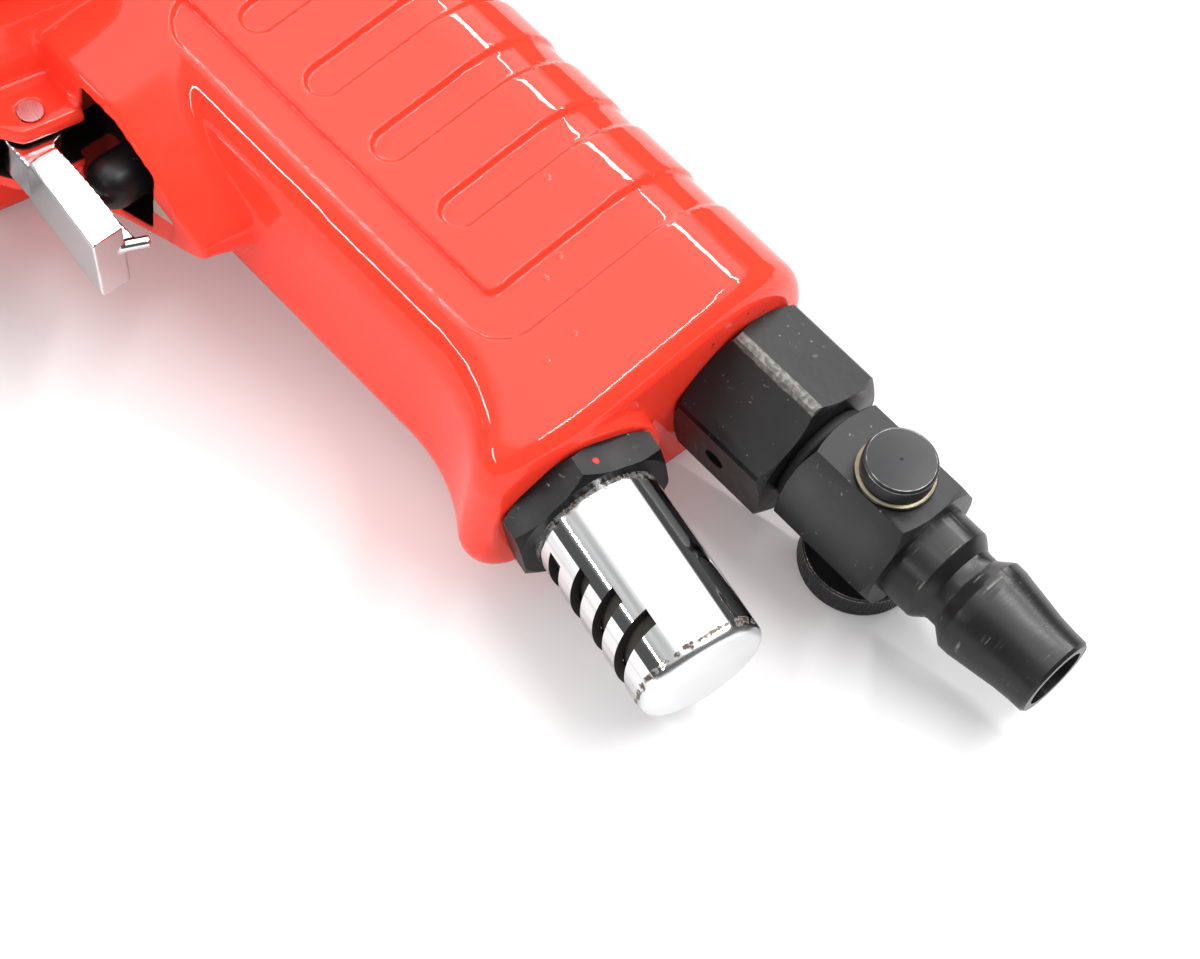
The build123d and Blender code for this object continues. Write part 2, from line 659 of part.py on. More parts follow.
def spline(gap, start, end):
    """Toothed shaft end, or its seat with a gap."""
    shaft = along_x(SPLINE_ROOT_R + gap, start, end)
    height = SPLINE_R + gap
    tooth = Pos((start + end) / 2, 0, height / 2) * Box(end - start, SPLINE_TOOTH + 2 * gap, height)
    teeth = [Rot(360 / SPLINE_TEETH * index, 0, 0) * tooth for index in range(SPLINE_TEETH)]
    return shaft + teeth


def hammer(start, side):
    """Hammer dog: a ring that rocks on one pin and has a wide notch for the other."""
    end = start - HAMMER_LEN
    sway = (HAMMER_R - HAMMER_BORE_R) / 5
    ring = along_x(HAMMER_R, end, start)
    hole = extrude(Plane.YZ.offset(end) * SlotCenterToCenter(2 * sway, 2 * HAMMER_BORE_R), HAMMER_LEN)
    notch = Pos(0, 0, side * PIN_ORBIT) * along_x(PIN_R + SLIP, end, start)
    width = 2 * PIN_R + 2 * sway
    middle = -side * (PIN_ORBIT - PIN_R - AIR + HAMMER_R)
    wide = Pos((start + end) / 2, 0, middle) * Box(HAMMER_LEN, width, 2 * HAMMER_R)
    return ring - hole - notch - wide


def hammer_pins():
    """Two pins that carry the hammers."""
    pin = along_x(PIN_R, CAGE_BACK, CAGE_FRONT)
    return [Pos(0, 0, side * PIN_ORBIT) * pin for side in (1, -1)]


def rotor_body():
    """Rotor with its vane slots, shafts and splined front end."""
    body = along_x(ROTOR_R, LINER_BACK + AIR / 2, LINER_FRONT - AIR / 2)
    slot = Pos(LINER_FRONT - LINER_LEN / 2, 0, ROTOR_R) * Box(LINER_LEN, VANE_THICK, 2 * VANE_DEPTH)
    body -= [Rot(360 / VANE_COUNT * index, 0, 0) * slot for index in range(VANE_COUNT)]
    spline_front = CAGE_BACK + CAGE_REAR_WALL
    body += along_x(FRONT_SHAFT_R, LINER_FRONT - AIR, CAGE_BACK - AIR)
    body += spline(0, CAGE_BACK - AIR, spline_front)
    body += along_x(REAR_SHAFT_R, LINER_BACK - PLATE_WEB - BEARING_WIDTH, LINER_BACK + AIR)
    return body - along_x(PILOT_R + SLIP, HAMMER_BACK - PILOT_LEN - AIR, spline_front)


def rotor_vanes():
    """Vanes, drawn back into their slots as when the motor stands still."""
    root = ROTOR_R - VANE_DEPTH + AIR
    tip = ROTOR_R - SLIP
    length = LINER_LEN - AIR
    vane = Pos(LINER_FRONT - LINER_LEN / 2, 0, (root + tip) / 2) * Box(length, VANE_THICK - 2 * SLIP, tip - root)
    return [Rot(360 / VANE_COUNT * index, 0, 0) * vane for index in range(VANE_COUNT)]


def motor_dowels(gap=0.0):
    """Two dowels that line up the end plates with the liner, or their holes with a gap."""
    dowels = []
    for joint in (LINER_FRONT, LINER_BACK):
        dowel = along_x(DOWEL_R + gap, joint - DOWEL_REACH, joint + DOWEL_REACH)
        dowels.append(Pos(0, 0, -DOWEL_ORBIT) * dowel)
    return dowels


def cylinder_liner():
    """Liner with its bore set off the drive axis, the supply port and the exhaust ports."""
    liner = along_x(MOTOR_BORE_R - PRESS, LINER_BACK, LINER_FRONT)
    liner -= Pos(0, 0, ECCENTRIC) * along_x(LINER_BORE_R, LINER_BACK, LINER_FRONT)
    middle = (BUSH_BACK_X + GALLERY_FRONT_X) / 2
    liner -= GRIP * Pos(middle, 0, 0) * along_z(SUPPLY_R, THROTTLE_Z, GRIP_TOP_Z)
    for side in (-1, 1):
        liner -= Pos(MUFFLER_X, side * DUCT_SPREAD, 0) * along_z(DUCT_R, -BARREL_R, 0)
    return liner - motor_dowels(PRESS)


def end_plate(face, outer_face, bearing_r, shaft_r):
    """End plate of the motor; its bearing pocket opens away from the liner."""
    web = face + PLATE_WEB * (1 if outer_face > face else -1)
    plate = along_x(MOTOR_BORE_R - PRESS, face, outer_face)
    plate -= along_x(bearing_r + PRESS, web, outer_face)
    plate -= along_x(shaft_r + AIR, face, outer_face)
    return plate - motor_dowels(PRESS)


def bearing_ring(outer, start, end):
    """One plain ring of a ball bearing."""
    return tube_x(outer, outer - BEARING_RING, start, end)


def rear_cover():
    """Cover with a domed rim, a spigot in the housing and the chamber of the reverse valve."""
    bore = REVERSE_SHAFT_R + SLIP
    chamber_back = PLATE_BACK - 2 * AIR - VALVE_DISC
    spigot = MOTOR_BORE_R - SLIP
    dome_start = COVER_BACK + COVER_DOME
    flat = BARREL_R - COVER_DOME
    dome = TangentArc((dome_start, BARREL_R), (COVER_BACK, flat), tangent=(-1, 0))
    walls = Polyline(
        (COVER_BACK, flat),
        (COVER_BACK, bore),
        (chamber_back, bore),
        (chamber_back, VALVE_DISC_R + AIR),
        (PLATE_BACK, VALVE_DISC_R + AIR),
        (PLATE_BACK, spigot),
        (COVER_FRONT, spigot),
        (COVER_FRONT, BARREL_R),
        (dome_start, BARREL_R),
    )
    cover = revolve(Plane.XZ * make_face(dome + walls), Axis.X)
    seat = COVER_FRONT - EAR_LEN
    cover += on_bolts(along_x(EAR_R, seat, COVER_FRONT))
    cover -= on_bolts(along_x(BOLT_HEAD_R + AIR, COVER_BACK, seat))
    cover -= on_bolts(along_x(BOLT_R + LOOSE, seat, COVER_FRONT))
    middle = (COVER_BACK + chamber_back) / 2
    half = REVERSE_SEAL / 2 + SLIP
    return cover - tube_x(REVERSE_SHAFT_R + REVERSE_SEAL, REVERSE_SHAFT_R, middle - half, middle + half)


def reverse_seal():
    """Sealing ring in the rear cover round the reverse shaft."""
    chamber_back = PLATE_BACK - 2 * AIR - VALVE_DISC
    ring = seal_ring(REVERSE_SHAFT_R + SLIP, REVERSE_SEAL - 2 * SLIP)
    return Pos((COVER_BACK + chamber_back) / 2, 0, 0) * Rot(0, 90, 0) * ring


def lever_square(gap):
    """Flatted end of the reverse shaft, or its hole in the lever with a gap."""
    end = along_x(REVERSE_SHAFT_R + gap, LEVER_BACK, COVER_BACK - AIR)
    flats = 2 * REVERSE_SHAFT_R * 0.75 + 2 * gap
    return end & Pos(LEVER_BACK, 0, 0) * Box(4 * LEVER_THICK, flats, 4 * REVERSE_SHAFT_R)


def reverse_valve():
    """Valve disc with two curved ports, and the shaft that carries the lever."""
    disc_front = PLATE_BACK - AIR
    disc_back = disc_front - VALVE_DISC
    valve = along_x(VALVE_DISC_R, disc_back, disc_front) + along_x(REVERSE_SHAFT_R, COVER_BACK - AIR, disc_back)
    arc = CenterArc((0, 0), (VALVE_DISC_R + REVERSE_SHAFT_R) / 2, 30, 60)
    port = extrude(Plane.YZ.offset(disc_back) * SlotArc(arc, REVERSE_SHAFT_R * 0.8), VALVE_DISC)
    valve -= [Rot(angle, 0, 0) * port for angle in (0, 180)]
    valve += lever_square(0)
    depth = COVER_LEN / 2
    valve -= along_x(SCREW_R + PRESS, LEVER_BACK, LEVER_BACK + depth)
    return Rot(-LEVER_REST, 0, 0) * valve


def reverse_lever():
    """Lever on the back of the tool that turns the reverse valve."""
    taper = asin((LEVER_HUB_R - LEVER_TIP_R) / LEVER_ARM)
    side = [(LEVER_HUB_R * cos(taper), LEVER_HUB_R * sin(taper))]
    side.append((LEVER_TIP_R * cos(taper), LEVER_ARM + LEVER_TIP_R * sin(taper)))
    mirrored = [(-x, y) for x, y in reversed(side)]
    outline = make_face(Polyline(*side, *mirrored, close=True))
    outline += Circle(LEVER_HUB_R)
    outline += Pos(0, LEVER_ARM) * Circle(LEVER_TIP_R)
    lever = extrude(Plane.YZ.offset(LEVER_BACK) * outline, LEVER_THICK)
    lever = fillet(lever.faces().sort_by(Axis.X)[0].edges(), LEVER_THICK / 4)
    lever -= lever_square(PRESS)
    return Rot(-LEVER_REST, 0, 0) * lever


def reverse_lever_screw():
    """Screw that holds the lever on its shaft."""
    screw = cap_screw(SCREW_R, SCREW_LEN, SCREW_HEAD_R, SCREW_HEAD, SCREW_R * 1.25)
    return Rot(-LEVER_REST, 0, 0) * Pos(LEVER_BACK, 0, 0) * Rot(0, 0, 180) * screw


def trigger_lever():
    """Chromed lever: curved finger plate with a round end, rib that meets the plunger, and the pivot head."""
    low = (LEVER_LOW_X, LEVER_LOW_Z)
    middle = (LEVER_MID_X, LEVER_MID_Z)
    top = (LEVER_TOP_X, LEVER_TOP_Z)
    low_out = (LEVER_LOW_X + LEVER_BODY, LEVER_LOW_Z)
    top_out = (LEVER_TOP_X + LEVER_BODY, LEVER_TOP_Z)
    plate_view = make_face(ThreePointArc(low, middle, top) + Polyline(top, top_out, low_out, low))
    plate = extrude(Plane.XZ * plate_view, LEVER_WIDTH / 2, both=True)
    corners = plate.faces().sort_by(Axis.Z)[0].edges().filter_by(Axis.X)
    plate = fillet(corners, LEVER_ROUND)
    front = plate.faces().sort_by(Axis.X)[-1]
    rims = [edge for edge in front.edges() if edge.center().Z < LEVER_TOP_Z - PRESS]
    plate = fillet(rims, LEVER_EDGE)
    head_view = make_face(
        Polyline(top, top_out, (PIVOT_X + EAR_PAD_R, PIVOT_Z), (PIVOT_X - EAR_PAD_R, PIVOT_Z), close=True)
    )
    head_view += Pos(PIVOT_X, PIVOT_Z) * Circle(EAR_PAD_R)
    lever = plate + extrude(Plane.XZ * head_view, LEVER_HEAD / 2, both=True)
    rib_x = PLUNGER_TIP_X + RIB_GAP
    rib_len = LEVER_TOP_Z - RIB_LOW_Z
    rib_deep = LEVER_LOW_X - rib_x
    rib = Pos(rib_x + rib_deep / 2, 0, RIB_LOW_Z + rib_len / 2) * Box(rib_deep, RIB_THICK, rib_len)
    lever += rib
    return GRIP * (lever - Pos(PIVOT_X, 0, PIVOT_Z) * along_y(PIVOT_R + SLIP, -LEVER_WIDTH, LEVER_WIDTH))


def trigger_pin():
    """Pivot pin of the trigger, flush with both sides of the hood."""
    return GRIP * Pos(PIVOT_X, 0, PIVOT_Z) * along_y(PIVOT_R, -HOOD_HALF, HOOD_HALF)


def throttle_line(shape):
    """A shape drawn on the X axis, set on the throttle axis."""
    return GRIP * Pos(0, 0, THROTTLE_Z) * shape


def throttle_bush():
    """Bush with the plunger's bore, the supply gallery and the valve seat at its back."""
    bore = PLUNGER_R + SLIP
    seal_x = (GALLERY_FRONT_X + BUSH_FRONT_X) / 2
    half = SEAL / 2 + SLIP
    outer = THROTTLE_BORE_R - PRESS
    bush = turned_x(
        (BUSH_BACK_X, GALLERY_R),
        (GALLERY_FRONT_X, GALLERY_R),
        (GALLERY_FRONT_X, bore),
        (BUSH_FRONT_X, bore),
        (BUSH_FRONT_X, outer),
        (seal_x + half, outer),
        (seal_x + half, outer - SEAL),
        (seal_x - half, outer - SEAL),
        (seal_x - half, outer),
        (BUSH_BACK_X, outer),
    )
    middle = (BUSH_BACK_X + GALLERY_FRONT_X) / 2
    return throttle_line(bush - Pos(middle, 0, 0) * along_z(SUPPLY_R, 0, 2 * THROTTLE_BORE_R))


def throttle_bush_seal():
    """Sealing ring in the groove of the throttle bush."""
    ring = seal_ring(THROTTLE_BORE_R - SEAL, SEAL - 2 * PRESS)
    return throttle_line(Pos((GALLERY_FRONT_X + BUSH_FRONT_X) / 2, 0, 0) * Rot(0, 90, 0) * ring)


def throttle_plunger():
    """Plunger with a round end and the stem that carries the valve."""
    plunger = along_x(PLUNGER_R, PLUNGER_BACK_X, PLUNGER_TIP_X - PLUNGER_R)
    plunger += Pos(PLUNGER_TIP_X - PLUNGER_R, 0, 0) * Sphere(PLUNGER_R)
    return throttle_line(plunger + along_x(STEM_R, BUSH_BACK_X - SLIP - POPPET - POPPET_HUB, PLUNGER_BACK_X))


def throttle_valve():
    """Valve head on the plunger's stem, closed against the bush, with a hub in the spring."""
    face = BUSH_BACK_X - SLIP
    back = face - POPPET
    hub_r = SPRING_R - SPRING_WIRE_R - AIR
    valve = turned_x(
        (face, STEM_R + PRESS),
        (face, POPPET_R),
        (back, POPPET_R),
        (back, hub_r),
        (back - POPPET_HUB, hub_r),
        (back - POPPET_HUB, STEM_R + PRESS),
    )
    return throttle_line(valve)


def throttle_spring():
    """Return spring behind the valve."""
    start = THROTTLE_END_X + SPRING_WIRE_R
    end = BUSH_BACK_X - SLIP - POPPET - SPRING_WIRE_R
    coil = Helix((end - start) / SPRING_TURNS, end - start, SPRING_R)
    section = Plane(origin=coil @ 0, z_dir=coil % 0) * Circle(SPRING_WIRE_R)
    wire = sweep(section, path=coil)
    return throttle_line(Pos(start, 0, 0) * Rot(0, 90, 0) * wire)


def throttle_cap():
    """Screwed cap that closes the throttle bore at the back of the grip, with a hexagon socket."""
    back = THROTTLE_END_X - THROTTLE_CAP
    cap = along_x(THROTTLE_BORE_R - PRESS, back, THROTTLE_END_X)
    socket = extrude(Plane.YZ.offset(back) * RegularPolygon(CAP_SOCKET / 2, 6, major_radius=False), THROTTLE_CAP / 2)
    return throttle_line(cap - socket)


def inlet_bush():
    """Hexagon bush screwed into the grip, with a blind pin hole in one flat."""
    bush = hexagon(INLET_HEX, INLET_HEX_END_Z, GRIP_END_Z, INLET_HEX_TURN, HEX_BEVEL, INLET_HEX_TURNED_R)
    top = GRIP_END_Z + INLET_THREAD_LEN
    bush += along_z(INLET_THREAD_R, GRIP_END_Z, top)
    bush -= along_z(INLET_BUSH_BORE_R, INLET_HEX_END_Z, top)
    hole = along_x(CROSS_HOLE_R, (INLET_BUSH_BORE_R + INLET_HEX / 2) / 2, INLET_HEX)
    return GRIP * (bush - Rot(0, 0, INLET_HEX_TURN - 30) * Pos(0, 0, CROSS_HOLE_Z) * hole)


def inlet_seal():
    """Sealing ring squeezed between the two hexagons."""
    inner = INLET_BUSH_BORE_R
    edge = (INLET_HEX_END_Z - REGULATOR_TOP_Z) / 4
    ring = turned_z(
        (inner, REGULATOR_TOP_Z),
        (SEAL_R - edge, REGULATOR_TOP_Z),
        (SEAL_R, REGULATOR_TOP_Z + edge),
        (SEAL_R, INLET_HEX_END_Z - edge),
        (SEAL_R - edge, INLET_HEX_END_Z),
        (inner, INLET_HEX_END_Z),
    )
    return GRIP * ring


def inlet_screen():
    """Perforated cup that keeps dirt out of the throttle."""
    top = GRIP_END_Z + INLET_THREAD_LEN
    outer = INLET_BUSH_BORE_R - PRESS
    cup = along_z(outer, top - SCREEN_LEN, top) - along_z(outer - SCREEN_WALL, top - SCREEN_LEN + SCREEN_WALL, top)
    hole = Pos(outer / 2, 0, top - SCREEN_LEN) * Cylinder(SCREEN_HOLE_R, 4 * SCREEN_WALL)
    return GRIP * (cup - [Rot(0, 0, 360 / SCREEN_HOLES * index) * hole for index in range(SCREEN_HOLES)])


def regulator_plug():
    """Hexagon regulator body with its stem above and the quick plug turned on it below."""
    corner = REGULATOR_HEX / 2 / cos(pi / 6)
    body = hexagon(REGULATOR_HEX, REGULATOR_END_Z, REGULATOR_TOP_Z, 0, HEX_BEVEL, corner)
    body += along_z(INLET_BUSH_BORE_R - PRESS, REGULATOR_TOP_Z, REGULATOR_TOP_Z + REGULATOR_STEM)
    taper = Spline((PLUG_COLLAR_R, PLUG_COLLAR_END_Z), (PLUG_WAIST_R, PLUG_WAIST_Z), (PLUG_TIP_R, PLUG_TIP_Z))
    outline = Polyline(
        (PLUG_TIP_R, PLUG_TIP_Z),
        (0, PLUG_TIP_Z),
        (0, REGULATOR_END_Z),
        (PLUG_NECK_R, REGULATOR_END_Z),
        (PLUG_NECK_R, PLUG_NECK_Z),
        (PLUG_GROOVE_R, PLUG_GROOVE_Z),
        (PLUG_GROOVE_R, PLUG_GROOVE_END_Z),
        (PLUG_COLLAR_R, PLUG_COLLAR_Z),
        (PLUG_COLLAR_R, PLUG_COLLAR_END_Z),
    )
    body += revolve(Plane.XZ * make_face(taper + outline), Axis.Z)
    body -= along_z(PLUG_BORE_R, PLUG_TIP_Z, REGULATOR_TOP_Z + REGULATOR_STEM)
    return GRIP * (body - along_y(SPINDLE_R + SLIP, -REGULATOR_HEX, REGULATOR_HEX))


def regulator_spindle():
    """Spindle that throttles the air, with its knob on the tool's right."""
    spindle = along_y(SPINDLE_R, -KNOB_NEAR, SPINDLE_TOP)
    knob = along_y(KNOB_R, -KNOB_FAR, -KNOB_NEAR)
    spindle += chamfer(knob.edges().filter_by(GeomType.CIRCLE), KNOB_BEVEL)
    clip_y = REGULATOR_HEX / 2 + SLIP
    spindle -= along_y(SPINDLE_R, clip_y, clip_y + CLIP + SLIP) - along_y(CLIP_GROOVE_R, clip_y, clip_y + CLIP + SLIP)
    half = SPINDLE_SEAL / 2 + SLIP
    for place in (-SPINDLE_SEAL_Y, SPINDLE_SEAL_Y):
        groove = along_y(SPINDLE_R, -half, half) - along_y(SPINDLE_R - SPINDLE_SEAL, -half, half)
        spindle -= Pos(0, place, 0) * groove
    return GRIP * (spindle - along_z(SPINDLE_PORT_R, -KNOB_R, KNOB_R))


def spindle_clip():
    """Ring that keeps the spindle in the body."""
    start = REGULATOR_HEX / 2 + SLIP
    return GRIP * (along_y(CLIP_R, start, start + CLIP) - along_y(CLIP_GROOVE_R + PRESS, start, start + CLIP))


def spindle_seals():
    """Two sealing rings in the grooves of the spindle."""
    ring = Rot(90, 0, 0) * seal_ring(SPINDLE_R - SPINDLE_SEAL + PRESS, SPINDLE_SEAL - PRESS)
    return [GRIP * Pos(0, place, 0) * ring for place in (-SPINDLE_SEAL_Y, SPINDLE_SEAL_Y)]


def muffler_tube():
    """Chromed exhaust tube with a rounded closed end and saw cuts that deepen downwards."""
    end = -INLET_DROP - MUFFLER_END
    top = -INLET_DROP - NUT_TOP + MUFFLER_THREAD
    tube = along_z(MUFFLER_R, end, top)
    tube = fillet(tube.edges().sort_by(Axis.Z)[0], MUFFLER_ROUND)
    tube -= along_z(MUFFLER_R - MUFFLER_WALL, end + MUFFLER_WALL, top)
    for index in range(CUT_COUNT):
        depth = CUT_DEPTH + CUT_DEEPEN * (CUT_COUNT - 1 - index)
        middle = -INLET_DROP - CUT_LAST + CUT_WIDTH / 2 + index * CUT_PITCH
        cut = Pos(2 * MUFFLER_R - depth, 0, middle) * Box(2 * MUFFLER_R, 4 * MUFFLER_R, CUT_WIDTH)
        tube -= Rot(0, 0, CUT_TURN) * cut
    return Pos(MUFFLER_X, 0, 0) * tube


def muffler_lock_nut():
    """Lock nut of the muffler against the end of the grip."""
    top = -INLET_DROP - NUT_TOP
    corner = NUT_HEX / 2 / cos(pi / 6)
    nut = hexagon(NUT_HEX, top - NUT_LEN, top, NUT_TURN, HEX_BEVEL, corner)
    return Pos(MUFFLER_X, 0, 0) * (nut - along_z(MUFFLER_R + PRESS, top - NUT_LEN, top))


def muffler_felt():
    """Felt plug inside the muffler."""
    end = -INLET_DROP - MUFFLER_END + MUFFLER_WALL
    top = -INLET_DROP - NUT_TOP
    return Pos(MUFFLER_X, 0, 0) * along_z(MUFFLER_R - MUFFLER_WALL - FELT_GAP, end, top)


front_bearing = LINER_FRONT + PLATE_WEB
rear_bearing = LINER_BACK - PLATE_WEB
cushion = seal_ring(RING_SEAT_R + PRESS, RING_R - RING_WALL - RING_SEAT_R - 2 * PRESS)

pieces = {
    "motor_housing": motor_housing(),
    "rear_cover": rear_cover(),
    "rear_gasket": joint_gasket(HOUSING_BACK, MOTOR_BORE_R),
    "rear_cover_bolts": bolt_set(COVER_FRONT - EAR_LEN, -1),
    "hammer_case": hammer_case(),
    "front_gasket": joint_gasket(CASE_BACK, MOTOR_BORE_R),
    "hammer_case_bolts": bolt_set(CASE_BACK + EAR_LEN, 1),
    "anvil_bush": tube_x(BUSH_R, JOURNAL_R + SLIP, CHAMBER_FRONT, CASE_FRONT - NOSE_GAP),
    "cylinder_liner": cylinder_liner(),
    "front_end_plate": end_plate(LINER_FRONT, HOUSING_FRONT, FRONT_BEARING_R, FRONT_SHAFT_R),
    "rear_end_plate": end_plate(LINER_BACK, PLATE_BACK, REAR_BEARING_R, REAR_SHAFT_R),
    "motor_dowels": motor_dowels(),
    "front_bearing_outer_ring": bearing_ring(FRONT_BEARING_R, front_bearing, front_bearing + BEARING_WIDTH),
    "front_bearing_inner_ring": tube_x(
        FRONT_SHAFT_R + BEARING_RING, FRONT_SHAFT_R + PRESS, front_bearing, front_bearing + BEARING_WIDTH
    ),
    "rear_bearing_outer_ring": bearing_ring(REAR_BEARING_R, rear_bearing, rear_bearing - BEARING_WIDTH),
    "rear_bearing_inner_ring": tube_x(
        REAR_SHAFT_R + BEARING_RING, REAR_SHAFT_R + PRESS, rear_bearing, rear_bearing - BEARING_WIDTH
    ),
    "rotor": rotor_body(),
    "rotor_vanes": rotor_vanes(),
    "hammer_cage": hammer_cage(),
    "front_hammer": hammer(HAMMER_FRONT, 1),
    "rear_hammer": hammer(HAMMER_BACK + HAMMER_LEN, -1),
    "hammer_pins": hammer_pins(),
    "anvil": anvil(),
    "socket_ring": socket_ring(),
    "socket_ring_cushion": Pos(-RING_GROOVE_X, 0, 0) * Rot(0, 90, 0) * cushion,
    "trigger_lever": trigger_lever(),
    "trigger_pin": trigger_pin(),
    "throttle_plunger": throttle_plunger(),
    "throttle_valve": throttle_valve(),
    "throttle_bush": throttle_bush(),
    "throttle_bush_seal": throttle_bush_seal(),
    "throttle_spring": throttle_spring(),
    "throttle_cap": throttle_cap(),
    "reverse_valve": reverse_valve(),
    "reverse_lever": reverse_lever(),
    "reverse_lever_screw": reverse_lever_screw(),
    "reverse_seal": reverse_seal(),
    "inlet_bush": inlet_bush(),
    "inlet_seal": inlet_seal(),
    "inlet_screen": inlet_screen(),
    "regulator_plug": regulator_plug(),
    "regulator_spindle": regulator_spindle(),
    "spindle_clip": spindle_clip(),
    "spindle_seals": spindle_seals(),
    "muffler_tube": muffler_tube(),
    "muffler_lock_nut": muffler_lock_nut(),
    "muffler_felt": muffler_felt(),
}

os.makedirs("parts", exist_ok=True)
for name, piece in pieces.items():
    solids = piece if isinstance(piece, list) else [piece]
    laid = [LAID * solid for solid in solids]
    export_step(Compound(children=laid) if len(laid) > 1 else laid[0], f"parts/{name}.step")
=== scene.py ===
import bpy
import json
import math
from mathutils import Euler, Matrix, Vector

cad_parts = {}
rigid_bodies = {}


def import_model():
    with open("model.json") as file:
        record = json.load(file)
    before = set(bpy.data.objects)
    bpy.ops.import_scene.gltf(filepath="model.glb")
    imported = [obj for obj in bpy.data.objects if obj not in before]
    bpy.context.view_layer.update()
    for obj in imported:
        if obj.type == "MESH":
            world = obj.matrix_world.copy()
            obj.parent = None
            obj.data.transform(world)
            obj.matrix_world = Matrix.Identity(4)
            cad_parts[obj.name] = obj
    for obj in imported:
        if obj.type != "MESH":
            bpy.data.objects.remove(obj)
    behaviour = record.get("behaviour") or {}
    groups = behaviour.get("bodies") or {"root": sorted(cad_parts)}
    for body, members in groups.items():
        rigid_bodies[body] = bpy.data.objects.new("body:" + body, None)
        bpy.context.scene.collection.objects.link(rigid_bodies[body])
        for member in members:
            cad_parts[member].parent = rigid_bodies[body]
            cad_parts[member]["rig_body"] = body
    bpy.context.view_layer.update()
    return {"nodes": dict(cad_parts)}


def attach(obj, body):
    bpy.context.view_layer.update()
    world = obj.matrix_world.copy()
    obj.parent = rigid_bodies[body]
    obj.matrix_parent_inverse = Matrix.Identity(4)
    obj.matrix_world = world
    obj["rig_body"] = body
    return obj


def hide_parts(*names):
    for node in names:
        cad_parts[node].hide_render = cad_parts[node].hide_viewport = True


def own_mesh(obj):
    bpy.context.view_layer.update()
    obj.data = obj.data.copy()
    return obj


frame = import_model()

nodes = frame["nodes"]

# Motor housing
# Barrel, pistol grip and trigger hood are one aluminium casting, dipped in thick red enamel.
# The enamel rounds every edge, hangs in slight waves and is chipped where the inlet screws in.
MM = 0.001
ROLL = 82.774867
GRIP_LEAN = 11.1
INLET_X = -148.0
GRIP_END_Z = -117.0


def shift(x, y, z):
    """A move in millimetres."""
    return Matrix.Translation((x * MM, y * MM, z * MM))


def rotation(angle, axis):
    """A turn in degrees about an axis."""
    return Matrix.Rotation(math.radians(angle), 4, axis)


LAID = rotation(ROLL, "X")
GRIP = LAID @ shift(INLET_X, 0, GRIP_END_Z) @ rotation(GRIP_LEAN, "Y")


def copied(solid, name):
    """A merged copy of a CAD solid, ready to be worked on."""
    bpy.ops.object.select_all(action="DESELECT")
    piece = bpy.data.objects.new(name, nodes[solid].data.copy())
    bpy.context.scene.collection.objects.link(piece)
    piece.data.materials.clear()
    piece.select_set(True)
    bpy.context.view_layer.objects.active = piece
    bpy.ops.mesh.customdata_custom_splitnormals_clear()
    bpy.ops.object.mode_set(mode="EDIT")
    bpy.ops.mesh.select_all(action="SELECT")
    bpy.ops.mesh.remove_doubles(threshold=0.001 * MM)
    bpy.ops.object.mode_set(mode="OBJECT")
    return piece


def worked(piece, kind, **settings):
    """A modifier put on a piece and applied."""
    step = piece.modifiers.new(kind.lower(), kind)
    for key, value in settings.items():
        setattr(step, key, value)
    bpy.context.view_layer.objects.active = piece
    bpy.ops.object.modifier_apply(modifier=step.name)


def seated(piece, slot, finishes, *solids):
    """The piece stands for CAD solids, rides where they ride and takes its finishes."""
    for finish in finishes:
        piece.data.materials.append(finish)
    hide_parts(*solids)
    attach(piece, nodes[solids[0]]["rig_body"])


def node(tree, kind, inputs, **settings):
    """A shader node; each input is a value or the socket that feeds it."""
    made = tree.nodes.new("ShaderNode" + kind)
    for key, value in settings.items():
        setattr(made, key, value)
    for key, value in inputs.items():
        if isinstance(value, bpy.types.NodeSocket):
            tree.links.new(value, made.inputs[key])
        else:
            made.inputs[key].default_value = value
    return made


def surface(name, colour, rough, metal):
    """A new finish: material, node tree and shader."""
    finish = bpy.data.materials.new(name)
    finish.use_nodes = True
    shader = finish.node_tree.nodes["Principled BSDF"]
    shader.inputs["Base Color"].default_value = (*colour, 1)
    shader.inputs["Roughness"].default_value = rough
    shader.inputs["Metallic"].default_value = metal
    return finish, finish.node_tree, shader


def fed(tree, shader, sockets):
    """The shader's sockets, each fed by the output given for it."""
    for name, output in sockets.items():
        tree.links.new(output, shader.inputs[name])


def axes_of(tree, axes):
    """Object coordinates turned into a piece's own axes, in metres."""
    place = node(tree, "TexCoord", {}).outputs["Object"]
    settings = {"Vector": place, "Location": axes.to_translation(), "Rotation": axes.to_euler("XYZ")}
    return node(tree, "Mapping", settings, vector_type="TEXTURE").outputs["Vector"]


def stretched(tree, vector, scale, turn=(0, 0, 0)):
    """Coordinates drawn out along some axes, for streaks."""
    return node(tree, "Mapping", {"Vector": vector, "Scale": scale, "Rotation": turn}).outputs["Vector"]


def along(tree, vector, direction):
    """How far a place lies along a direction."""
    return node(tree, "VectorMath", {0: vector, 1: direction}, operation="DOT_PRODUCT").outputs["Value"]


def distance(tree, vector, point):
    """How far a place lies from a point."""
    return node(tree, "VectorMath", {0: vector, 1: point}, operation="DISTANCE").outputs["Value"]


def off_axis(tree, vector):
    """How far a place lies from the Z axis."""
    return distance(tree, stretched(tree, vector, (1, 1, 0)), (0, 0, 0))


def reckoned(tree, how, first, second=0.0):
    """One step of arithmetic, such as ADD or SUBTRACT."""
    return node(tree, "Math", {0: first, 1: second}, operation=how).outputs[0]


def times(tree, *values):
    """Product of several shares."""
    product = values[0]
    for value in values[1:]:
        product = reckoned(tree, "MULTIPLY", product, value)
    return product


def most(tree, *values):
    """Largest of several shares."""
    largest = values[0]
    for value in values[1:]:
        largest = reckoned(tree, "MAXIMUM", largest, value)
    return largest


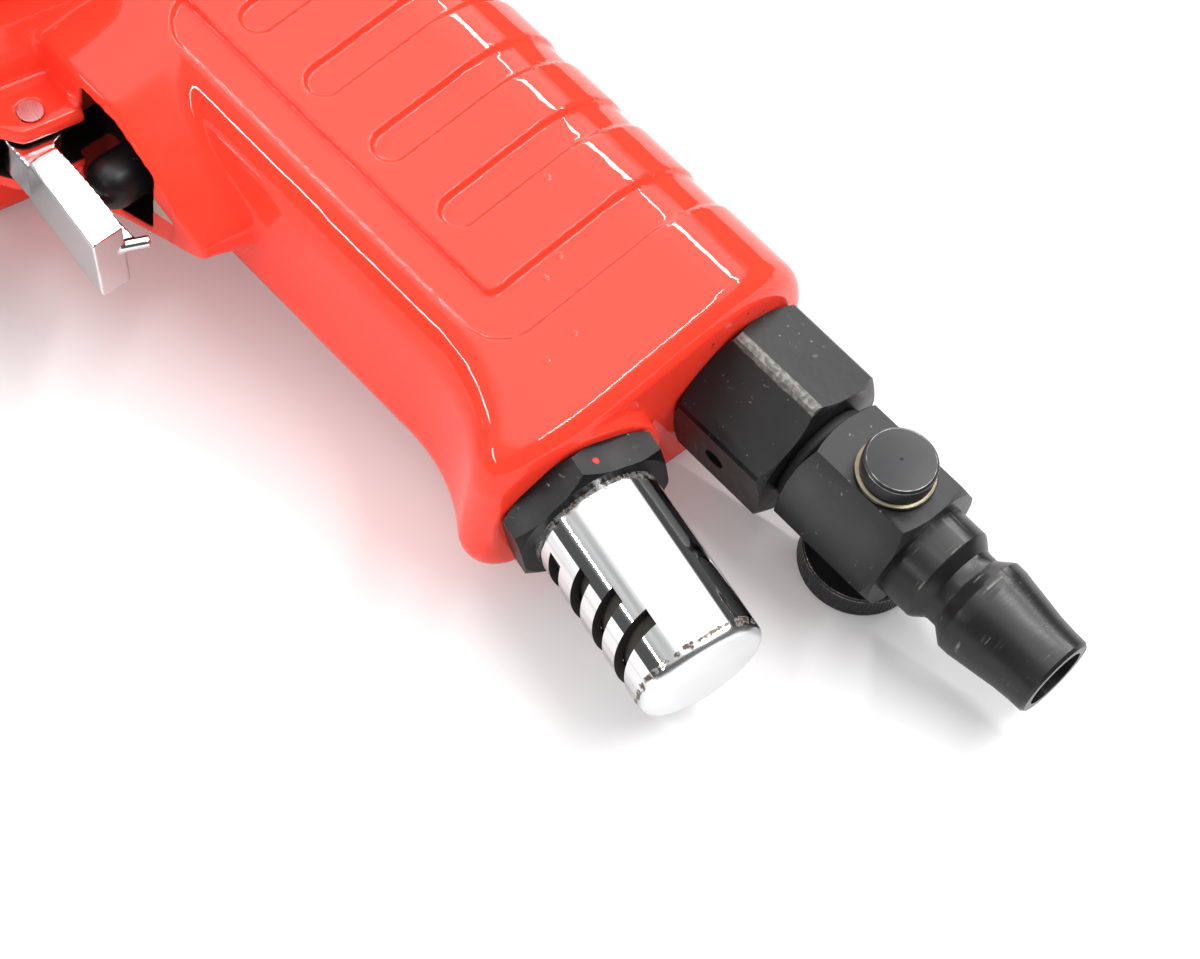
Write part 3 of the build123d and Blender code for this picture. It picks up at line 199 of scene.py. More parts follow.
def step(tree, value, low, high):
    """0 below low, 1 above high, with a soft step; the other way round where low is the larger."""
    settings = {"Value": value, "From Min": low, "From Max": high}
    return node(tree, "MapRange", settings, interpolation_type="SMOOTHSTEP").outputs["Result"]


def past(tree, value, edge, soft):
    """1 past an edge, with a band of soft each side of it, in millimetres; below 0 the other way round."""
    return step(tree, value, (edge - soft) * MM, (edge + soft) * MM)


def ranged(tree, value, first, second, low=0.0, high=1.0):
    """A value between low and high spread over a range."""
    settings = {"Value": value, "From Min": low, "From Max": high, "To Min": first, "To Max": second}
    return node(tree, "MapRange", settings).outputs["Result"]


def cloudy(tree, vector, scale, detail):
    """Soft random patches, about one in each 1/scale metres."""
    return node(tree, "TexNoise", {"Vector": vector, "Scale": scale, "Detail": detail}).outputs["Fac"]


def blended(tree, share, first, second):
    """One colour passing into another; each is three numbers or a socket."""
    first, second = ((*end, 1) if isinstance(end, tuple) else end for end in (first, second))
    return node(tree, "Mix", {0: share, 6: first, 7: second}, data_type="RGBA").outputs[2]


def mottled(tree, vector, scale, detail, dark, light):
    """Soft patches between two tones."""
    return blended(tree, cloudy(tree, vector, scale, detail), dark, light)


def raised(tree, height, depth, under=None):
    """Relief of the given depth in millimetres, on top of any relief under it."""
    settings = {"Height": height, "Strength": 1.0, "Distance": depth * MM}
    if under:
        settings["Normal"] = under
    return node(tree, "Bump", settings).outputs["Normal"]


def specks(tree, vector, scale, share, radius):
    """Round spots: one to a cell of the given share of cells, radius in cells."""
    cells = node(tree, "TexVoronoi", {"Vector": vector, "Scale": scale})
    draw = node(tree, "SeparateColor", {0: cells.outputs["Color"]}).outputs[0]
    kept = step(tree, draw, 1 - share, 1.02 - share)
    return times(tree, step(tree, cells.outputs["Distance"], radius, radius * 0.4), kept)


ENAMEL_ROUGH = 0.18
red_enamel, tree, shader = surface("red_enamel", (0.93, 0.048, 0.026), ENAMEL_ROUGH, 0.0)
shader.inputs["Specular IOR Level"].default_value = 0.0
shader.inputs["Coat IOR"].default_value = 1.33
shader.inputs["Coat Roughness"].default_value = 0.03
grip = axes_of(tree, GRIP)
grip_x, grip_y, grip_z = (along(tree, grip, axis) for axis in ((1, 0, 0), (0, 1, 0), (0, 0, 1)))
off_middle = reckoned(tree, "ABSOLUTE", grip_y)

# Chips in the enamel, beside the inlet on the end of the grip
CHIPS_Z = 24.1
CHIPS_R = 12.5
CHIPS_Y = 9.5
chips = times(
    tree,
    past(tree, grip_z, CHIPS_Z, -0.2),
    past(tree, off_axis(tree, grip), CHIPS_R, -0.5),
    past(tree, grip_y, CHIPS_Y, 0.5),
    step(tree, cloudy(tree, grip, 600, 3), 0.62, 0.66),
)

# Bare spot face below the plunger, a sliver that widens upwards
SLIVER_Z = (76.5, 82.8)
SLIVER_X = 35.8
SLIVER_SLOPE = 2.0 / 5.5
sliver_half = times(tree, reckoned(tree, "SUBTRACT", grip_z, SLIVER_Z[0] * MM), SLIVER_SLOPE)
sliver = times(
    tree,
    past(tree, reckoned(tree, "SUBTRACT", sliver_half, off_middle), 0.06, 0.06),
    past(tree, grip_x, SLIVER_X, 0.1),
    past(tree, grip_z, SLIVER_Z[1], -0.2),
)

# Painted shade in the milled pocket round the plunger, wider at the top, and in the milled slot for the
# trigger: both are coloured near-black for the shade inside them, a little less dark above the pocket's top
SHADE_FROM_X = 31.95
POCKET_X = 36.2
POCKET_Z = (80.5, 88.5)
POCKET_HALF = (4.9, 8.8)
POCKET_END_Z = 89.95
SLOT_X = 46.2
SLOT_HALF = 3.6
SLOT_Z = 84.1
pocket_half = ranged(tree, grip_z, *(size * MM for size in POCKET_HALF + POCKET_Z))
pocket_shade = times(
    tree,
    past(tree, reckoned(tree, "SUBTRACT", pocket_half, off_middle), 0.05, 0.05),
    past(tree, grip_x, SHADE_FROM_X, 0.05),
    past(tree, grip_x, POCKET_X, -0.1),
    past(tree, grip_z, POCKET_Z[0] - 0.2, 0.1),
    ranged(tree, past(tree, grip_z, POCKET_END_Z, -0.35), 0.82, 1.0),
)
slot_shade = times(
    tree,
    past(tree, off_middle, SLOT_HALF, -0.1),
    past(tree, grip_x, SHADE_FROM_X, 0.05),
    past(tree, grip_x, SLOT_X, -0.1),
    past(tree, grip_z, SLOT_Z, 0.1),
)
recess_painted_shade = most(tree, pocket_shade, slot_shade)

# Waves, orange peel and blisters; the larger blisters are listed, as (x, z, radius) on the grip
BLISTERS = ((22.8, 32.3, 0.75), (18.4, 32.6, 0.5), (7.6, 48.6, 0.6), (15.7, 39.9, 0.5), (12.8, 40.8, 0.5))
waves = raised(tree, cloudy(tree, grip, 170, 1), 0.05)
waves = raised(tree, cloudy(tree, grip, 420, 1), 0.012, waves)
peel = raised(tree, cloudy(tree, grip, 700, 1), 0.003, waves)
blisters = specks(tree, grip, 130, 0.06, 0.06)
side_place = stretched(tree, grip, (1, 0, 1))
for x, z, radius in BLISTERS:
    gap = distance(tree, side_place, (x * MM, 0, z * MM))
    blisters = most(tree, blisters, step(tree, gap, radius * MM, radius * 0.3 * MM))
relief = raised(tree, blisters, 0.10, peel)

colour = mottled(tree, grip, 45, 3, (0.90, 0.042, 0.022), (0.95, 0.054, 0.029))
colour = blended(tree, chips, colour, (0.012, 0.010, 0.010))
colour = blended(tree, sliver, colour, (0.50, 0.45, 0.37))
# Painted shade: the pocket and the trigger slot are coloured near-black, duller and with little coat
colour = blended(tree, recess_painted_shade, colour, (0.014, 0.010, 0.009))
fed(tree, shader, {
    "Base Color": colour,
    "Roughness": ranged(tree, most(tree, chips, sliver, recess_painted_shade), ENAMEL_ROUGH, 0.45),
    "Coat Weight": ranged(tree, most(tree, sliver, recess_painted_shade), 1.0, 0.1),
    "Normal": relief,
    "Coat Normal": relief,
})

# The casting is rounded all over, its flanks beside the pocket more, and thinned most where it is hidden
HOUSING_TRIANGLES = 190000
MOTOR_BORE_R = 23.2
INLET_BORE_R = 9.0
INLET_BORE_Z = 26.0
FLANK_X = (27.2, 35.9)
FLANK_Z = (60.0, 91.0)
housing = copied("motor_housing", "motor_housing_enamelled")
worked(housing, "REMESH", mode="VOXEL", voxel_size=0.3 * MM, use_smooth_shade=True)
worked(housing, "SMOOTH", factor=0.5, iterations=6)
inside = housing.vertex_groups.new(name="inside")
flank = housing.vertex_groups.new(name="flank")
to_grip = GRIP.inverted()
hidden = []
for vertex in housing.data.vertices:
    local = to_grip @ vertex.co / MM
    in_bore = math.hypot(vertex.co.y, vertex.co.z) < MOTOR_BORE_R * MM
    in_inlet = math.hypot(local.x, local.y) < INLET_BORE_R and local.z > INLET_BORE_Z
    if in_bore or in_inlet:
        hidden.append(vertex.index)
    by_pocket = local.x > 31.5 and abs(local.y) < 5.4 + max(0.0, local.z - POCKET_Z[0]) * 0.49
    share = min(
        local.x - FLANK_X[0],
        (FLANK_X[1] - local.x) / 0.8,
        (local.z - FLANK_Z[0]) / 3,
        (FLANK_Z[1] - local.z) / 3,
        1.0,
    )
    if share > 0 and not (by_pocket and local.z > 79.0):
        flank.add([vertex.index], share, "REPLACE")
inside.add(hidden, 1.0, "REPLACE")
worked(housing, "SMOOTH", factor=0.5, iterations=90, vertex_group="flank")
worked(housing, "DECIMATE", ratio=0.3, vertex_group="inside", vertex_group_factor=20.0)
triangles = sum(len(face.vertices) - 2 for face in housing.data.polygons)
worked(housing, "DECIMATE", ratio=min(1.0, HOUSING_TRIANGLES / triangles))
housing.vertex_groups.clear()
seated(housing, "red_enamel", [red_enamel], "motor_housing")

# Vane motor
# An iron cylinder with an off centre bore stands between two iron end plates on dowels.
# The steel rotor turns in two bearings and carries six vanes of cloth laminate.
LINE = Matrix.Identity(4)


def ground_metal(name, dark, light, rough, metal, scale):
    """Machined metal: soft patches of tone and fine lines round the drive axis."""
    finish, tree, shader = surface(name, light, rough, metal)
    place = axes_of(tree, LINE)
    lines = cloudy(tree, stretched(tree, place, (40, 1, 1)), scale * 3, 2)
    fed(tree, shader, {
        "Base Color": mottled(tree, place, scale, 3, dark, light),
        "Roughness": ranged(tree, lines, rough - 0.08, rough + 0.1),
        "Normal": raised(tree, lines, 0.006),
    })
    return finish


def refinished(finish, *solids):
    """CAD solids whose shape is right get a finish of their own."""
    for solid in solids:
        nodes[solid].data.materials.clear()
        nodes[solid].data.materials.append(finish)


cast_iron = ground_metal("cast_iron", (0.16, 0.16, 0.165), (0.32, 0.32, 0.33), 0.42, 1.0, 160)
bright_steel = ground_metal("bright_steel", (0.50, 0.50, 0.52), (0.66, 0.66, 0.68), 0.25, 1.0, 120)
vane_laminate = ground_metal("vane_laminate", (0.22, 0.12, 0.05), (0.38, 0.24, 0.11), 0.6, 0.0, 700)
refinished(cast_iron, "cylinder_liner", "front_end_plate", "rear_end_plate")
refinished(bright_steel, "rotor", "motor_dowels", "front_bearing_outer_ring", "front_bearing_inner_ring")
refinished(bright_steel, "rear_bearing_outer_ring", "rear_bearing_inner_ring")
refinished(vane_laminate, "rotor_vanes")

# Twin hammers
# Two hammers of hardened steel sit on pins in a cage that the rotor drives.
# They are left grey from the furnace, with ground faces where they strike the anvil.
hammer_steel = ground_metal("hammer_steel", (0.17, 0.165, 0.16), (0.33, 0.32, 0.31), 0.36, 1.0, 220)
refinished(hammer_steel, "hammer_cage", "front_hammer", "rear_hammer")
refinished(bright_steel, "hammer_pins")

# Hammer case
# A blasted and lacquered alloy casting with a machined nose, screwed to the barrel by four cap screws.
# A dark fibre gasket seals the joint, and a bronze bush in the nose carries the anvil.
case_alloy, tree, shader = surface("case_alloy", (0.60, 0.60, 0.62), 0.42, 1.0)
place = axes_of(tree, LINE)
tone = mottled(tree, place, 60, 4, (0.48, 0.48, 0.50), (0.66, 0.66, 0.68))
scuffs = cloudy(tree, stretched(tree, place, (25, 500, 500), (0.3, 0.5, 0.2)), 1, 2)
fed(tree, shader, {
    "Base Color": blended(tree, step(tree, scuffs, 0.70, 0.74), tone, (0.30, 0.30, 0.31)),
    "Roughness": ranged(tree, cloudy(tree, place, 90, 3), 0.36, 0.52),
    "Normal": raised(tree, cloudy(tree, place, 1600, 2), 0.025),
})
case = copied("hammer_case", "hammer_case_blasted")
worked(case, "REMESH", mode="VOXEL", voxel_size=0.55 * MM, use_smooth_shade=True)
worked(case, "SMOOTH", factor=0.5, iterations=3)
seated(case, "case_alloy", [case_alloy], "hammer_case")


def grained(name, axes, base, rough, metal, tones, patches, grain, depth):
    """Soft patches between two tones over a fine grain; patches and grain are each (scale, detail)."""
    finish, tree, shader = surface(name, base, rough, metal)
    place = axes_of(tree, axes)
    fed(tree, shader, {
        "Base Color": mottled(tree, place, *patches, *tones),
        "Normal": raised(tree, cloudy(tree, place, *grain), depth),
    })
    return finish


fibre = grained(
    "gasket_fibre", LINE, (0.16, 0.13, 0.10), 0.8, 0.0,
    tones=((0.10, 0.08, 0.06), (0.22, 0.18, 0.14)), patches=(900, 4), grain=(1500, 2), depth=0.03,
)
refinished(fibre, "front_gasket")
bronze = ground_metal("bronze", (0.45, 0.28, 0.10), (0.66, 0.46, 0.20), 0.34, 1.0, 150)
refinished(bronze, "anvil_bush")
screw_steel, tree, shader = surface("screw_steel", (0.05, 0.05, 0.055), 0.42, 0.7)
place = axes_of(tree, LINE)
rubbed = step(tree, cloudy(tree, place, 700, 4), 0.55, 0.68)
fed(tree, shader, {
    "Base Color": blended(tree, rubbed, (0.035, 0.035, 0.038), (0.13, 0.13, 0.13)),
    "Normal": raised(tree, cloudy(tree, place, 1200, 2), 0.01),
})
refinished(screw_steel, "hammer_case_bolts")

# Anvil
# The anvil is forged and hardened steel with a half inch square drive, ground bright on the drive.
# A split steel ring on a rubber cushion in its groove keeps a socket on.
HEAT_X = -11.0
anvil_steel, tree, shader = surface("anvil_steel", (0.36, 0.35, 0.34), 0.3, 1.0)
place = axes_of(tree, LINE)
heat = past(tree, along(tree, place, (1, 0, 0)), HEAT_X, -2.0)
tone = mottled(tree, place, 300, 4, (0.32, 0.31, 0.30), (0.48, 0.47, 0.46))
marks = cloudy(tree, stretched(tree, place, (60, 700, 700)), 1, 3)
fed(tree, shader, {
    "Base Color": blended(tree, heat, tone, (0.16, 0.15, 0.145)),
    "Roughness": ranged(tree, marks, 0.2, 0.42),
    "Normal": raised(tree, marks, 0.008),
})
refinished(anvil_steel, "anvil", "socket_ring")
seal_rubber = grained(
    "seal_rubber", LINE, (0.02, 0.02, 0.021), 0.7, 0.0,
    tones=((0.005, 0.005, 0.0055), (0.013, 0.0125, 0.012)), patches=(260, 4), grain=(1400, 2), depth=0.012,
)
refinished(seal_rubber, "socket_ring_cushion")

# Rear cover and reverse control
# The cover is an alloy casting in the same red enamel, on a fibre gasket, held by four cap screws.
# The reverse valve turns in it, and a tumbled alloy lever is screwed on the valve's square end.
cover = copied("rear_cover", "rear_cover_enamelled")
worked(cover, "REMESH", mode="VOXEL", voxel_size=0.5 * MM, use_smooth_shade=True)
worked(cover, "SMOOTH", factor=0.5, iterations=4)
seated(cover, "red_enamel", [red_enamel], "rear_cover")
lever_alloy = grained(
    "lever_alloy", LINE, (0.50, 0.50, 0.52), 0.38, 1.0,
    tones=((0.38, 0.38, 0.40), (0.58, 0.58, 0.60)), patches=(260, 4), grain=(900, 3), depth=0.03,
)
refinished(fibre, "rear_gasket")
refinished(screw_steel, "rear_cover_bolts", "reverse_lever_screw")
refinished(hammer_steel, "reverse_valve")
refinished(lever_alloy, "reverse_lever")
refinished(seal_rubber, "reverse_seal")

# Throttle
# A brass bush in the grip guides a black steel plunger, whose stem carries the rubber faced valve.
# A steel spring shuts the valve, and a blackened screw cap closes the bore behind it.
THROTTLE_Z = 85.5
PLUNGER_R = 3.2
PLUNGER_END = 37.8
THROTTLE = GRIP @ shift(0, 0, THROTTLE_Z) @ rotation(90, "Y")


def worn_black(name, axes, corner=None, sheen=0.33):
    """Black oxide on steel: soft tone, specks, fine scratches, and a corner that is worn bright."""
    finish, tree, shader = surface(name, (0.01, 0.01, 0.01), 0.4, 0.0)
    shader.inputs["Specular IOR Level"].default_value = sheen
    place = axes_of(tree, axes)
    tone = mottled(tree, place, 240, 4, (0.003, 0.003, 0.0032), (0.010, 0.010, 0.0103))
    hairs = cloudy(tree, stretched(tree, place, (90, 2600, 1500), (0.2, 0.7, 0.5)), 1, 1)
    cross = cloudy(tree, stretched(tree, place, (2200, 110, 1700), (0.9, 0.1, 0.4)), 1, 1)
    hairs = most(tree, step(tree, hairs, 0.70, 0.76), step(tree, cross, 0.71, 0.77))
    hairs = times(tree, hairs, step(tree, cloudy(tree, place, 110, 2), 0.48, 0.60))
    worn = most(tree, hairs, specks(tree, place, 420, 0.16, 0.08), specks(tree, place, 900, 0.10, 0.10))
    if corner:
        direction, limit = corner
        ragged = ranged(tree, cloudy(tree, place, 420, 5), -0.14 * MM, 0.14 * MM)
        reach = reckoned(tree, "ADD", along(tree, place, direction), ragged)
        scraped = ranged(tree, step(tree, cloudy(tree, place, 1500, 4), 0.40, 0.62), 0.45, 1.0)
        worn = most(tree, worn, times(tree, past(tree, reach, limit + 0.05, 0.05), scraped))
    fed(tree, shader, {
        "Base Color": blended(tree, worn, tone, (0.15, 0.145, 0.132)),
        "Metallic": ranged(tree, worn, 0.0, 0.7),
        "Roughness": ranged(tree, cloudy(tree, place, 300, 3), 0.26, 0.46),
        "Normal": raised(tree, cloudy(tree, place, 1300, 4), 0.016),
    })
    return finish


def turned(name, rings, sides=96):
    """A piece turned on the Z axis: a circle drawn out ring by ring, as (radius, place) in millimetres."""
    radius, place = rings[0]
    bpy.ops.object.select_all(action="DESELECT")
    bpy.ops.mesh.primitive_circle_add(vertices=sides, radius=radius * MM, location=(0, 0, place * MM))
    piece = bpy.context.object
    piece.name = name
    bpy.ops.object.transform_apply(location=True, rotation=False, scale=False)
    bpy.ops.object.mode_set(mode="EDIT")
    bpy.ops.mesh.select_all(action="SELECT")
    for (radius, place), (next_radius, next_place) in zip(rings, rings[1:]):
        rise = (next_place - place) * MM
        share = next_radius / radius
        bpy.ops.mesh.extrude_edges_move(TRANSFORM_OT_translate={"value": (0, 0, rise)})
        bpy.ops.transform.resize(value=(share, share, 1), center_override=(0, 0, next_place * MM))
    bpy.ops.mesh.select_all(action="SELECT")
    bpy.ops.mesh.remove_doubles(threshold=0.001 * MM)
    bpy.ops.mesh.fill_holes(sides=0)
    bpy.ops.mesh.select_all(action="SELECT")
    bpy.ops.mesh.normals_make_consistent(inside=False)
    bpy.ops.object.mode_set(mode="OBJECT")
    return piece


def dome(radius, centre, start, end, count):
    """Rings of a round end: angles in degrees from the axis."""
    rings = []
    for index in range(count + 1):
        angle = math.radians(start + (end - start) * index / count)
        rings.append((radius * math.sin(angle), centre + radius * math.cos(angle)))
    return rings


def placed(piece, axes):
    """A piece drawn at the origin, moved into its axes on the tool."""
    piece.data.transform(axes)
    piece.data.update()


def smoothed(piece, angle):
    """Smooth shading up to an angle between faces."""
    bpy.ops.object.select_all(action="DESELECT")
    piece.select_set(True)
    bpy.context.view_layer.objects.active = piece
    bpy.ops.object.shade_smooth_by_angle(angle=math.radians(angle))


plunger_black = worn_black("plunger_black", THROTTLE)
stem = [(1.6, 9.75), (1.6, 27.9), (2.9, 28.0), (PLUNGER_R, 28.3), (PLUNGER_R, PLUNGER_END)]
plunger = turned("throttle_plunger_turned", stem + dome(PLUNGER_R, PLUNGER_END, 80, 6, 12))
placed(plunger, THROTTLE)
smoothed(plunger, 35)
seated(plunger, "black_oxide", [plunger_black], "throttle_plunger")
spring = copied("throttle_spring", "throttle_spring_wound")
smoothed(spring, 40)
seated(spring, "bright_steel", [bright_steel], "throttle_spring")
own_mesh(spring)
brass = ground_metal("brass", (0.50, 0.34, 0.13), (0.74, 0.55, 0.27), 0.3, 1.0, 200)
refinished(brass, "throttle_bush")
refinished(plunger_black, "throttle_cap")
refinished(seal_rubber, "throttle_valve", "throttle_bush_seal")

# Trigger
# A die cast lever, ground and chromed: a finger plate with a rib that meets the plunger.
# Its narrow head turns on a steel pin in the hood, its end is cut at a slant, and a small lug stands behind.
LEVER_END = (45.0, 0.0, 76.85)
LEVER_SLANT = 14.7
SLANT_BLOCK = 20.0
LUG_PLACE = (44.5, 1.0, 78.2)
LUG_LEAN = -114.7
chrome, tree, shader = surface("chrome", (0.80, 0.81, 0.82), 0.08, 1.0)
place = axes_of(tree, GRIP)
brushed = cloudy(tree, stretched(tree, place, (260, 400, 3200)), 1, 2)
fed(tree, shader, {
    "Base Color": mottled(tree, place, 120, 3, (0.74, 0.75, 0.76), (0.86, 0.86, 0.87)),
    "Roughness": ranged(tree, cloudy(tree, place, 200, 3), 0.06, 0.2),
    "Normal": raised(tree, brushed, 0.006),
})


def box(name, size, axes):
    """A block of the given size in millimetres, in its axes on the tool."""
    bpy.ops.object.select_all(action="DESELECT")
    bpy.ops.mesh.primitive_cube_add(size=1.0)
    piece = bpy.context.object
    piece.name = name
    piece.scale = [length * MM for length in size]
    bpy.ops.object.transform_apply(location=False, rotation=False, scale=True)
    placed(piece, axes)
    return piece


def joined(piece, other, how="UNION"):
    """Two solids made one, or one cut out of the other."""
    worked(piece, "BOOLEAN", operation=how, object=other, solver="EXACT")
    bpy.data.objects.remove(other)


trigger = copied("trigger_lever", "trigger_lever_chromed")
below_end = GRIP @ shift(*LEVER_END) @ rotation(LEVER_SLANT, "X") @ shift(0, 0, -SLANT_BLOCK / 2)
joined(trigger, box("slant", (SLANT_BLOCK, SLANT_BLOCK, SLANT_BLOCK), below_end), "DIFFERENCE")
lug = turned("lug", [(0.7, 0.0), (0.7, 4.6), (0.55, 4.8)], 24)
placed(lug, GRIP @ shift(*LUG_PLACE) @ rotation(LUG_LEAN, "Y"))
joined(trigger, lug)
worked(trigger, "REMESH", mode="VOXEL", voxel_size=0.12 * MM, use_smooth_shade=True)
worked(trigger, "SMOOTH", factor=0.5, iterations=8)
worked(trigger, "DECIMATE", ratio=0.35)
seated(trigger, "chrome", [chrome], "trigger_lever")
refinished(bright_steel, "trigger_pin")

# Air inlet
# A hexagon bush of blackened steel screws into the grip, with a pin hole for a spanner in one flat.
# The corner that wrenches slip on is worn bright; a brass screen sits inside, and a rubber ring below.
INLET_TURN = 18.0
INLET_START = 9.8
INLET_WEAR = 9.86
REGULATOR_TOP = 8.2
PIN_HOLE_Z = 16.9
HEXAGON_BEVEL = 1.2


def edge_bright(name, axes):
    """Broken edge of blackened steel, rubbed through to the metal in places."""
    finish, tree, shader = surface(name, (0.08, 0.08, 0.08), 0.38, 0.5)
    rubbed = step(tree, cloudy(tree, axes_of(tree, axes), 500, 5), 0.36, 0.60)
    fed(tree, shader, {
        "Base Color": blended(tree, rubbed, (0.020, 0.020, 0.020), (0.24, 0.235, 0.22)),
        "Metallic": ranged(tree, rubbed, 0.1, 0.8),
    })
    return finish


def hexagon(name, across, start, end, turn, corner):
    """A hexagon bar on the Z axis whose ends are turned to a bevel; one corner points along turn."""
    bpy.ops.object.select_all(action="DESELECT")
    bpy.ops.mesh.primitive_cylinder_add(
        vertices=6,
        radius=across / 2 / math.cos(math.pi / 6) * MM,
        depth=(end - start) * MM,
        location=(0, 0, (start + end) / 2 * MM),
        rotation=(0, 0, math.radians(turn - 90)),
    )
    piece = bpy.context.object
    piece.name = name
    bpy.ops.object.transform_apply(location=True, rotation=True, scale=False)
    drop = HEXAGON_BEVEL * 0.6
    face = corner - HEXAGON_BEVEL
    rings = [(face, start - 0.001), (corner, start + drop), (corner, end - drop), (face, end + 0.001)]
    joined(piece, turned("blank", rings, 144), "INTERSECT")
    return piece


def eased(piece, width, angle, mark):
    """Sharp edges broken by a small bevel, whose faces take the finish in slot mark."""
    worked(
        piece, "BEVEL", width=width * MM, segments=2, limit_method="ANGLE",
        angle_limit=math.radians(angle), material=mark, use_clamp_overlap=True,
    )
    smoothed(piece, 28)
    worked(piece, "WEIGHTED_NORMAL", keep_sharp=True)


worn_angle = math.radians(INLET_TURN + 60)
worn_corner = (math.cos(worn_angle), math.sin(worn_angle), 0)
inlet = hexagon("inlet_bush_blackened", 18.0, INLET_START, 23.4, INLET_TURN, corner=10.2)
joined(inlet, turned("inlet_thread", [(8.2, 23.0), (8.2, 35.4)]))
joined(inlet, turned("inlet_bore", [(5.6, 0.0), (5.6, 40.0)]), "DIFFERENCE")
pin_hole = turned("pin_hole", [(1.35, 6.4), (1.35, 20.0)], 32)
placed(pin_hole, rotation(INLET_TURN - 30, "Z") @ shift(0, 0, PIN_HOLE_Z) @ rotation(90, "Y"))
joined(inlet, pin_hole, "DIFFERENCE")
inlet.data.materials.append(worn_black("inlet_black", GRIP, corner=(worn_corner, INLET_WEAR)))
inlet.data.materials.append(edge_bright("inlet_edge", GRIP))
placed(inlet, GRIP)
eased(inlet, 0.15, 20, 1)
seated(inlet, "black_oxide", [], "inlet_bush")
refinished(brass, "inlet_screen")

seal_middle = (REGULATOR_TOP + INLET_START) / 2
seal = turned(
    "inlet_seal_squeezed",
    [
        (5.65, REGULATOR_TOP + 0.05), (6.1, REGULATOR_TOP + 0.02), (6.4, REGULATOR_TOP + 0.3),
        (6.5, seal_middle), (6.4, INLET_START - 0.3), (6.1, INLET_START - 0.02),
        (5.65, INLET_START - 0.05), (5.65, REGULATOR_TOP + 0.05),
    ],
)
placed(seal, GRIP)
smoothed(seal, 60)
seated(seal, "rubber", [seal_rubber], "inlet_seal")

# Regulator and quick plug
# The regulator body and the plug for the hose coupler are turned from one hexagon bar and blackened.
# Tool lines show on the plug, where its black is rubbed along them.
REGULATOR_END = -6.3
plug_black, tree, shader = surface("plug_black", (0.03, 0.03, 0.031), 0.36, 0.0)
shader.inputs["Specular IOR Level"].default_value = 0.33
place = axes_of(tree, GRIP)
tool_lines = cloudy(tree, stretched(tree, place, (1, 1, 2400)), 1, 2)
tone = mottled(tree, place, 260, 4, (0.004, 0.004, 0.0044), (0.014, 0.0135, 0.013))
rubbed = times(tree, step(tree, cloudy(tree, place, 420, 5), 0.58, 0.72), step(tree, tool_lines, 0.5, 0.7))
fed(tree, shader, {
    "Base Color": blended(tree, rubbed, tone, (0.17, 0.165, 0.155)),
    "Roughness": ranged(tree, tool_lines, 0.22, 0.42),
    "Normal": raised(tree, tool_lines, 0.010),
})
regulator = hexagon("regulator_plug_blackened", 16.0, REGULATOR_END, REGULATOR_TOP, 0.0, corner=9.238)
plug = turned(
    "quick_plug",
    [
        (6.15, -6.0), (6.15, -10.3), (5.95, -10.7), (5.0, -11.8), (4.9, -12.2), (4.9, -13.3), (5.05, -13.6),
        (6.0, -14.8), (6.2, -15.1), (6.2, -16.5), (6.12, -16.9), (5.9, -18.4), (5.6, -20.5), (5.3, -22.5),
        (5.15, -24.5), (5.1, -26.3), (4.8, -26.7),
    ],
)
joined(regulator, plug)
joined(regulator, turned("regulator_stem", [(5.59, 6.5), (5.59, 20.9)]))
joined(regulator, turned("regulator_bore", [(3.75, -30.0), (3.75, 30.0)]), "DIFFERENCE")
cross_bore = turned("cross_bore", [(4.25, -12.0), (4.25, 12.0)])
placed(cross_bore, rotation(90, "X"))
joined(regulator, cross_bore, "DIFFERENCE")
regulator.data.materials.append(worn_black("regulator_black", GRIP))
regulator.data.materials.append(edge_bright("regulator_edge", GRIP))
regulator.data.materials.append(plug_black)
for face in regulator.data.polygons:
    face.material_index = 2 if face.center.z < (REGULATOR_END - 0.05) * MM else 0
placed(regulator, GRIP)
eased(regulator, 0.15, 24, 1)
seated(regulator, "black_oxide", [], "regulator_plug")

# Regulator spindle
# A blackened steel spindle throttles the air, faced in the lathe so that rings show on its end.
# Its knurled knob is on the far side, and a brass coloured ring keeps it in the body.
SPINDLE = GRIP @ rotation(-90, "X")
KNURL_R = 6.675
KNURL_TEETH = 90
spindle_black, tree, shader = surface("spindle_black", (0.035, 0.035, 0.038), 0.35, 0.0)
shader.inputs["Specular IOR Level"].default_value = 0.28
place = axes_of(tree, SPINDLE)
reach = off_axis(tree, place)
rings = cloudy(tree, node(tree, "CombineXYZ", {0: reach}).outputs[0], 2600, 1)
tone = mottled(tree, place, 300, 4, (0.008, 0.008, 0.009), (0.020, 0.020, 0.022))
angle = reckoned(tree, "ARCTAN2", along(tree, place, (0, 1, 0)), along(tree, place, (1, 0, 0)))
knurl = reckoned(tree, "SINE", times(tree, angle, KNURL_TEETH))
knurl = times(tree, knurl, past(tree, reach, KNURL_R, 0.075))
fed(tree, shader, {
    "Base Color": blended(tree, step(tree, rings, 0.66, 0.8), tone, (0.10, 0.10, 0.105)),
    "Roughness": ranged(tree, rings, 0.28, 0.45),
    "Normal": raised(tree, knurl, 0.06, raised(tree, rings, 0.005)),
})
spindle = turned(
    "regulator_spindle_turned",
    [
        (0.25, -12.0), (6.7, -12.0), (7.0, -11.7), (7.0, -8.7), (6.8, -8.4), (4.2, -8.4), (4.2, 7.95),
        (3.75, 8.0), (3.75, 8.85), (4.2, 8.9), (4.2, 10.9), (3.9, 11.2), (0.2, 11.2), (0.06, 11.12),
    ],
    128,
)
spindle.data.materials.append(spindle_black)
spindle.data.materials.append(edge_bright("spindle_edge", GRIP))
port = turned("spindle_port", [(3.0, -8.0), (3.0, 8.0)], 48)
placed(port, rotation(90, "X"))
joined(spindle, port, "DIFFERENCE")
placed(spindle, SPINDLE)
eased(spindle, 0.07, 30, 1)
seated(spindle, "black_oxide", [], "regulator_spindle")
refinished(seal_rubber, "spindle_seals")

